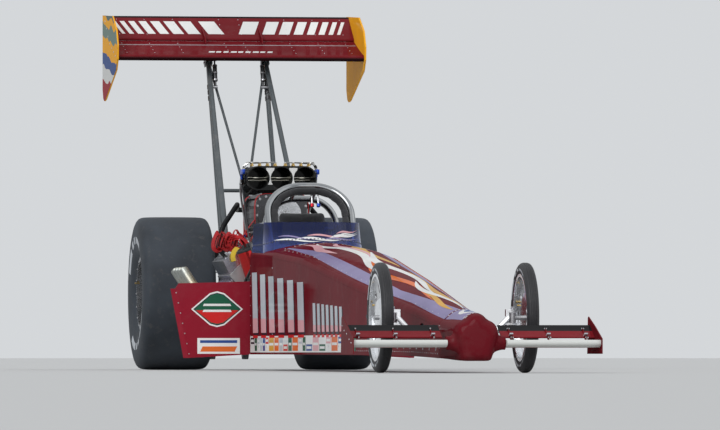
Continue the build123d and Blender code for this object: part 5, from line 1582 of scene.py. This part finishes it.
# %% Wheel hardware
def wheel_set(name, body, place, out, lugs, beads, cap):
    """Lug nuts, bead bolts, hub cap and valve on one wheel.

    lugs are their count, circle, face and radius, beads their count, circle and face, and the
    cap its face, radius and finish; circles and faces are in mm, faces from the car's middle."""
    made = Piece(name, body)
    axis = direction(out, 0, 0)
    lug_count, lug_circle, lug_face, lug_radius = lugs
    bead_count, bead_circle, bead_face = beads

    def on_face(radius, turn, x):
        return Vector(
            (out * x / 1000, place.y + radius / 1000 * cos(turn), place.z + radius / 1000 * sin(turn))
        )

    for step in range(lug_count):
        turn = 2 * pi * (step + 0.5) / lug_count
        made.bolt(on_face(lug_circle, turn, lug_face), axis, lug_radius, bolt_steel, lug_radius * 1.3)
        stud = ((0, lug_radius * 0.45), (lug_radius * 2.4, lug_radius * 0.45), (lug_radius * 2.5, 0))
        made.lathe(stud, on_face(lug_circle, turn, lug_face), axis, bolt_steel, 8)
    for step in range(bead_count):
        turn = 2 * pi * step / bead_count
        made.bolt(on_face(bead_circle, turn, bead_face), axis, 0.0042, bolt_steel, 0.0035)
    cap_face, cap_radius, tone = cap
    centre = Vector((out * cap_face / 1000, place.y, place.z))
    dome = ((0, 1), (0.006, 1), (0.012, 0.86), (0.016, 0.5), (0.017, 0))
    made.lathe([(rise, cap_radius * share) for rise, share in dome], centre, axis, tone, 32)
    made.lathe(((0.014, 0.009), (0.020, 0.009), (0.022, 0.006), (0.022, 0)), centre, axis, bolt_steel, 6)
    valve = on_face(bead_circle - 24, 0.35, bead_face - 14)
    made.lathe(
        ((0, 0.0045), (0.018, 0.004), (0.020, 0.0052), (0.028, 0.0052), (0.029, 0)), valve, axis, brass, 10
    )
    return made


rear_centre, front_centre = at(0, 0, 457), at(0, 7620, 279)
for hand, side in HANDS:
    lugs, beads, cap = (5, 55, 366, 0.009), (16, 206, 678), (366, 0.030, red_anodised)
    wheel_set(f"rear_wheel_hardware_{hand}", "rear_axle", rear_centre, side, lugs, beads, cap).build()
    lugs, beads, cap = (6, 30, 372, 0.0045), (0, 208, 372), (374, 0.016, bolt_steel)
    wheel_set(
        f"front_wheel_hardware_{hand}", f"{hand}_front_wheel", front_centre, side, lugs, beads, cap
    ).build()

# %% [markdown]
# Sidewalls carry plain raised bars in pale rubber, in two groups opposite each other. They show
# whether a wheel turns, and follow the bulge of the wall. The screen gets a few leaf-shaped films.

# %% Sidewall bars and screen film
ring_mark = gloss_paint("Ring mark", (0.42, 0.44, 0.46), dust=0.3, coat=0.0, rough=0.5)


def wall_bars(name, body, centre, wall, low, high, material):
    made = Piece(name, body)
    rising = sorted((radius, offset) for offset, radius in wall if radius < high + 40)

    def offset_at(radius):
        for (r0, o0), (r1, o1) in zip(rising, rising[1:]):
            if r0 <= radius <= r1:
                return o0 + (o1 - o0) * (radius - r0) / max(r1 - r0, 0.01)
        return rising[-1][1]

    for way in (1, -1):
        for start, sweep in ((22, 30), (60, 9), (76, 9), (93, 30), (202, 30), (240, 9), (256, 9), (273, 30)):
            columns = max(2, round(sweep / 3))
            top, under = [], []
            for j in range(4):
                radius = low + (high - low) * j / 3
                for i in range(columns + 1):
                    angle = radians(start + sweep * i / columns)
                    for lift, kept in ((0.6, top), (-0.3, under)):
                        x = way * (offset_at(radius) + lift) / 1000
                        kept.append(
                            centre + Vector((x, radius / 1000 * cos(angle), radius / 1000 * sin(angle)))
                        )
            wide, faces = columns + 1, []
            for j in range(3):
                for i in range(columns):
                    a = j * wide + i
                    faces.append([a, a + 1, a + wide + 1, a + wide])
            rim = [*range(wide), *range(2 * wide - 1, 4 * wide, wide)]
            rim += [*range(4 * wide - 2, 3 * wide - 1, -1), *range(2 * wide, 0, -wide)]
            faces += [[a, b, 4 * wide + b, 4 * wide + a] for a, b in zip(rim, rim[1:] + rim[:1])]
            made.add(top + under, faces, material)
    made.build(60)


for hand, side in HANDS:
    wall_bars(f"rear_sidewall_{hand}", "rear_axle", at(side * 490, 0, 457), slick_wall, 300, 340, ring_mark)
    wall_bars(
        f"front_sidewall_{hand}", f"{hand}_front_wheel", at(side * 370, 7620, 279), front_wall, 239, 250,
        ring_mark,
    )
screen_film = Piece("screen_film")
for x0, z0, x1, z1, wide, tone in (
    # both ends of a leaf as x and z, its half width and its film
    (-236, 738, 30, 736, 5, white_film), (-214, 760, -10, 748, 4, lavender_film),
    (-120, 746, 150, 742, 7, white_film), (-60, 764, 170, 762, 5, pink_film),
    (30, 742, 240, 748, 6, lavender_film), (70, 752, 244, 774, 8, white_film),
    (110, 776, 246, 796, 5, pink_film), (120, 764, 246, 784, 4, white_film),
):
    rows = []
    for level in (-1, 0, 1):
        row = []
        for step in range(13):
            t = step / 12
            z = z0 + (z1 - z0) * t + 6 * sin(2 * pi * t) + level * max(0.4, wide * sin(pi * t**0.7))
            row.append(at(x0 + (x1 - x0) * t, 3300, z))
        rows.append(row)
    lay_film(screen_film, rows, BACK, ("windscreen",), tone)
screen_film.build()

# %% [markdown]
# Body panels are held by quarter-turn fasteners, a shallow dish with a slot, in rows along the
# seams, and by rivets along the sill. Each one is dropped on the panel along a ray, so it sits
# square on the surface wherever the body curves.

# %% Panel fasteners
def dropped(place, ray, names):
    """Place and normal where a ray meets some solids."""
    hit, normal, _, _ = surface_of(*names).ray_cast(Vector(place), Vector(ray).normalized())
    if hit is None:
        return None, None
    return hit, (normal if normal.dot(Vector(ray)) < 0 else -normal)


def quarter_turn(made, hit, normal, turn=0.5):
    """Panel fastener: a dished head with a slot."""
    profile = ((0, 0.0105), (0.0009, 0.0100), (0.0012, 0.0078), (0.0005, 0.0066), (0.0005, 0))
    made.lathe(profile, hit, normal, bolt_steel, 14)
    flat = turned_to(normal, twist=turn)
    made.block(hit + normal * 0.0007, (0.0105, 0.0018, 0.0010), black_bolt, flat, 0)


def profile_at(station):
    """Shoulder z and underside z of the body at a station."""
    table = (
        (2048, 690, 92), (3000, 672, 92), (4050, 623, 92), (5500, 492, 90), (6600, 391, 88),
        (7350, 323, 83), (7950, 269, 74),
    )
    for low, high in zip(table, table[1:]):
        if station <= high[0]:
            share = (station - low[0]) / (high[0] - low[0])
            return tuple(a + (b - a) * share for a, b in zip(low[1:], high[1:]))
    return table[-1][1:]


def riveted(place, ray, names, radius=0.0032):
    hit, normal = dropped(place, ray, names)
    if hit:
        panel.rivet(hit, normal, radius, bolt_steel)


def screen_screw(place, ray):
    hit, normal = dropped(place, ray, ("windscreen",))
    if hit:
        profile = ((0, 0.0045), (0.001, 0.0042), (0.0022, 0.0028), (0.0024, 0))
        panel.lathe(profile, hit, normal, black_bolt, 10)


panel = Piece("panel_fasteners")
count = 0
for hand, side in HANDS:
    for station in range(2090, 7900, 165):
        shoulder, underside = profile_at(station)
        for z in (shoulder - 22, underside + 46):
            hit, normal = dropped(at(side * 900, station, z), (-side, 0, 0), SIDES)
            if hit:
                quarter_turn(panel, hit, normal, station * 0.7)
                count += 1
    for station in range(2080, 7930, 55):
        riveted(at(side * 900, station, profile_at(station)[1] + 22), (-side, 0, 0), SIDES)
    for station in (2066, 2992, 3008, 7942, 7962):
        shoulder, underside = profile_at(min(station, 7949))
        rows = max(2, round((shoulder - underside) / 70))
        for row in range(rows + 1):
            z = underside + 52 + (shoulder - underside - 84) * row / rows
            riveted(at(side * 900, station, z), (-side, 0, 0), (*SIDES, "nose_cone"))
    for station in range(3080, 7900, 150):
        shoulder = profile_at(station)[0]
        riveted(at(side * 900, station, shoulder + 9), (-side, 0, 0), TOPS, 0.0035)
for station in (2994, 3006, 7941, 7963):
    wide = 250 if station < 4000 else 84
    for step in range(-4, 5):
        riveted(at(wide * step / 4.6, station, 1500), (0, 0, -1), TOPS)
for step in range(37):
    turn = pi * step / 36
    outer = at(700 * cos(turn), 2545 + 700 * sin(turn), 716 + 30 * sin(turn))
    screen_screw(outer, at(0, 2545, 716 + 30 * sin(turn)) - outer)
for hand, side in HANDS:
    for station in range(2095, 2545, 50):
        screen_screw(at(side * 700, station, 716), (-side, 0, 0))
    for z in range(150, 500, 48):
        panel.bolt(at(side * 276, 2024.4, z), AHEAD, 0.0055, bolt_steel)
    for step in range(7):
        share = step / 6
        panel.rivet(at(side * (640 + 74 * share), 2024.3, 96 + 350 * share), AHEAD, 0.004, bolt_steel)
panel.build(50)
print("quarter turns", count)

# %% [markdown]
# The rear wing hangs on two dark brackets. Bolts go through each strut head, a short adjuster
# beside it sets the wing's angle, and the endplates are screwed to the ends of the wing.

# %% Wing stand hardware
stand = Piece("wing_stand_hardware")
BRACKET = (
    (-0.058, 0.020), (0.058, -0.012), (0.050, -0.052), (0.018, -0.074), (-0.026, -0.070), (-0.056, -0.030)
)
SCREW_HEAD = ((0, 0.0065), (0.0010, 0.0062), (0.0022, 0.0035), (0.0022, 0))
SIDEWAYS = Matrix(((0, 0, 1, 0), (1, 0, 0, 0), (0, 1, 0, 0), (0, 0, 0, 1)))
for hand, side in HANDS:
    for x in (-18, 18):
        place = Matrix.Translation(at(side * 175 + x - 2.2, -752, 1914)) @ SIDEWAYS
        stand.plate(BRACKET, 0.0045, place, black_bolt, 0.001)
        for station, z in ((-752, 1866), (-716, 1894), (-790, 1902)):
            radius = 0.0085 if z < 1880 else 0.006
            stand.bolt(at(side * 175 + x * 1.14, station, z), (x, 0, 0), radius, bolt_steel)
    stand.lathe(((-0.016, 0.006), (0.016, 0.006)), at(side * 175, -752, 1866), (1, 0, 0), bolt_steel, 10)
    upper, lower = at(side * 146, -672, 1884), at(side * 146, -614, 1716)
    line = (lower - upper).normalized()
    stand.lathe(
        ((0, 0.005), (0.030, 0.005), (0.034, 0.0135), (0.140, 0.0135), (0.144, 0.006), (0.176, 0.006)),
        upper, line, black_bolt, 20,
    )
    for shift in (0.040, 0.086, 0.132):
        stand.ring(0.004, 0.0136, 0.0152, upper + line * shift, line, bolt_steel, closed=False)
    stand.lathe(((-0.012, 0.010), (0.012, 0.010), (0.012, 0)), upper, (1, 0, 0), bolt_steel, 16)
    stand.lathe(((0, 0), (0, 0.010)), upper - Vector((0.012, 0, 0)), (-1, 0, 0), bolt_steel, 16)
    stand.lathe(((-0.012, 0.010), (0.030, 0.010), (0.030, 0)), lower, (side, 0, 0), bolt_steel, 16)
    foot, head = at(side * 175, -40, 665), at(side * 175, -750, 1885)
    climb = (head - foot).normalized()
    for share in (0.805, 0.835, 0.862):
        stand.ring(0.012, 0.0152, 0.0185, foot.lerp(head, share), climb, black_bolt, closed=False)
    for x, station, z in ((175, -40, 650), (235, 640, 674)):
        for way in (-1, 1):
            stand.bolt(at(side * x + 5 * way, station, z), (way, 0, 0), 0.0085, bolt_steel)
    for (nose, angle), screws in ((MAIN, (70, 170, 270, 370)), (FLAP, (50, 145, 235))):
        for reach in screws:
            back, rise = reach * cos(radians(angle)), reach * sin(radians(angle))
            stand.lathe(
                SCREW_HEAD, at(side * 762, nose[0] - back, nose[1] + rise - 6), (side, 0, 0), bolt_steel, 12
            )
for x in (-690, -520, -345, -60, 60, 345, 520, 690):
    for (nose, angle), chord in ((MAIN, 430), (FLAP, 290)):
        for share in (0.2, 0.42, 0.64, 0.86):
            back = nose[0] - share * chord * cos(radians(angle))
            for height, ray in ((2600, (0, 0, -1)), (1500, UP)):
                hit, normal = dropped(at(x, back, height), ray, ("rear_wing",))
                if hit:
                    stand.rivet(hit, normal, 0.0032, bolt_steel)
stand.build(50)

# %% [markdown]
# Each parachute bag has a flap folded over its rear end and two webbing bands round it. A wide
# strap runs from the bags to a shackle in the lug at the back of the frame, and pulls the whole
# car when the canopies open.

# %% Parachute bags and tether
band_web = woven("Band webbing", (0.035, 0.035, 0.04), (0.07, 0.07, 0.075), 1300.0, 0.3, 0.7)
flap_cloth = woven("Flap cloth", (0.10, 0.008, 0.012), (0.14, 0.014, 0.02), 500.0, 0.35, 0.75)
bands = Piece("parachute_bands")
for hand, side in HANDS:
    for station in (-268, -408):
        loop = []
        for step in range(25):
            turn = 2 * pi * step / 24
            c, s = cos(turn), sin(turn)
            reach = (abs(c) ** 4.2 + abs(s) ** 4.2) ** (-1 / 4.2)
            loop.append(at(side * 108 + 99.5 * c * reach, station, 698 + 75.5 * s * reach))
        webbing(bands, loop, 0.036, band_web, 0.0026, facing=Vector((1, 0, 0)), steps=2)
        bands.block(at(side * 108, station, 774.5), (0.030, 0.046, 0.004), bolt_steel, edge=0.0012)
    rows, columns = 9, 11
    flap_points = []
    for j in range(rows):
        drop = j / (rows - 1)
        for i in range(columns):
            across = i / (columns - 1) * 2 - 1
            if drop < 0.35:
                station, z = -430 - 60 * drop / 0.35, 772.5 - 6 * (drop / 0.35) ** 3
            else:
                station, z = -492.5, 766 - 92 * (drop - 0.35) / 0.65
            z -= 7 * across**4
            wave = 1.4 * sin(9 * across + 3 * drop)
            half = 88 - 14 * max(0, drop - 0.5)
            station += wave if drop < 0.35 else wave - 1.2
            flap_points.append(at(side * 108 + across * half, station, z + 1.2))
    inside = [Vector((p.x, p.y - 0.0016, p.z - 0.0016)) for p in flap_points]
    flap = Piece(f"parachute_flap_{hand}")
    flap.add(flap_points + inside, double_grid(columns, rows), flap_cloth)
    flap.build(50)
    bands.ring(0.003, 0.0165, 0.024, at(side * 108, -497, 716), AHEAD, bolt_steel, 24)
    release = mirrored(
        side, (108, -497, 730), (108, -503, 764), (104, -482, 792), (90, -400, 786), (86, -280, 786),
        (92, -190, 790), (98, -156, 750), (98, -150, 690), (98, -151, 612),
    )
    hose(f"release_cable_{hand}", release, 0.006, black_hose)
    strap = mirrored(
        side, (70, -482, 640), (66, -496, 622), (56, -478, 560), (40, -400, 440), (20, -300, 330),
        (7, -236, 277), (4, -222, 262),
    )
    webbing(bands, strap, 0.045, band_web, 0.004, facing=Vector((0, 1, 0.2)))
LUG_Z = 260
for way in (-1, 1):
    end = at(0, -184, LUG_Z + 17 * way)
    bands.lathe(((0, 0.017), (0.008, 0.017), (0.010, 0.014), (0.010, 0)), end, (0, 0, way), bolt_steel, 20)
    bow = [
        at(0, -184, LUG_Z + 22 * way), at(0, -206, LUG_Z + 21 * way), at(0, -228, LUG_Z + 6 * way),
        at(0, -233, LUG_Z),
    ]
    bands.tube(smooth_route(bow, 5), 0.0065, bolt_steel, 12)
bands.lathe(((-0.020, 0.0085), (0.020, 0.0085)), at(0, -184, LUG_Z), UP, bolt_steel, 12)
bands.build(50)

# %% [markdown]
# The last metalwork is small: bolts round the axle's gear case, brake lines, the frame's brackets,
# nuts on the front axle, and bright tabs that join the elements of the front wing.

# %% Running gear hardware
gear = Piece("running_gear_hardware")
for step in range(12):
    turn = 2 * pi * step / 12
    for station, ray in ((-700, AHEAD), (168, BACK)):
        hit, normal = dropped(at(118 * cos(turn), station, 457 + 118 * sin(turn)), ray, ("axle_housing",))
        if hit and abs(normal.y) > 0.9:
            gear.bolt(hit, normal, 0.0065, bolt_steel)
for hand, side in HANDS:
    for station, z in ((100, 470), (100, 520), (100, 420), (148, 440), (148, 500)):
        hit, normal = dropped(at(side * 500, station, z), (-side, 0, 0), ("axle_housing",))
        if hit and abs(normal.x) > 0.9:
            gear.bolt(hit, normal, 0.0055, bolt_steel)
    line = mirrored(
        side, (259, 128, 524), (258, 127, 560), (236, 114, 586), (204, 118, 590), (190, 150, 594),
        (189, 188, 598),
    )
    hose(f"brake_hose_{hand}", line, 0.0076, braid)
    fitting(gear, at(side * 259, 128, 521), (0, 0, 1), 0.008, blue_anodised, 0.022)
    for station, z in ((-120, 512), (-120, 402), (160, 512), (160, 402), (100, 512), (100, 402)):
        for way in (-1, 1):
            gear.bolt(at(side * 175 + 5 * way, station, z), (way, 0, 0), 0.0065, bolt_steel)
    for station in (1400, 1520, 1640, 1760, 1880):
        share = (station - 1330) / 690
        place = at(side * (245 + 5 * share), station, 440 + 160 * share)
        gear.ring(0.006, 0.0192, 0.0212, place, direction(5 * side, 690, 160), boot_black)
    rail_line = mirrored(
        side, (194, 202, 602), (236, 430, 520), (267, 640, 444), (268, 720, 441), (268, 1270, 441),
        (268, 1370, 449), (269, 1500, 480), (273, 2050, 607),
    )
    gear.tube(smooth_route(rail_line, 8), 0.0048, black_hose, 10)
    for station in (700, 850, 1000, 1150, 1300):
        gear.ring(0.006, 0.0192, 0.0212, at(side * 245, station, 440), AHEAD, boot_black)
gear.build()

low, high = (Vector(corner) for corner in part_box("front_axle"))
front_gear = Piece("front_axle_hardware")
for hand, side in HANDS:
    front_gear.bolt(at(side * 306, 7620, high.z * 1000), (0, 0, 1), 0.0095, bolt_steel, 0.008)
    for x in (197, 386, 575):
        for way in (-1, 1):
            front_gear.bolt(at(side * (x + 3 * way), 8262, 176), (way, 0, 0), 0.0055, bolt_steel)
            front_gear.bolt(at(side * (x + 3 * way), 8140, 221), (way, 0, 0), 0.0045, bolt_steel)
        front_gear.block(
            at(side * x, 8226, 191), (0.018, 0.040, 0.007), silver_film, turned_by(-20, "X"), 0.001
        )
    for back, z in ((60, 150), (130, 168), (215, 196), (300, 212), (370, 236)):
        front_gear.rivet(at(side * 627.5, 8420 - back, z), (side, 0, 0), 0.004, bolt_steel)
front_gear.build()
rod_gear = Piece("tie_rod_hardware", "tie_rod")
for hand, side in HANDS:
    rod_gear.bolt(at(side * 306, 7510, 243), (0, 0, 1), 0.0075, bolt_steel, 0.006)
    rod_gear.lathe(
        ((0, 0.0092), (0, 0.0125), (0.018, 0.0125), (0.020, 0.0092)), at(side * 262, 7510, 233),
        (side, 0, 0), bolt_steel, 6,
    )
rod_gear.build()
wheelie_gear = Piece("wheelie_hardware", "wheelie_wheels")
for hand, side in HANDS:
    wheelie_gear.lathe(
        ((-0.006, 0.013), (0, 0.013), (0.001, 0.010), (0.001, 0)), at(side * 119.5, -1120, 112),
        (side, 0, 0), bolt_steel, 6,
    )
    for groove in (92, 102.5, 113):
        wheelie_gear.lathe(
            ((-0.002, 0.0499), (-0.001, 0.0505), (0.001, 0.0505), (0.002, 0.0499)),
            at(side * groove, -1120, 112), (side, 0, 0), grip_rubber, 40,
        )
wheelie_gear.build()
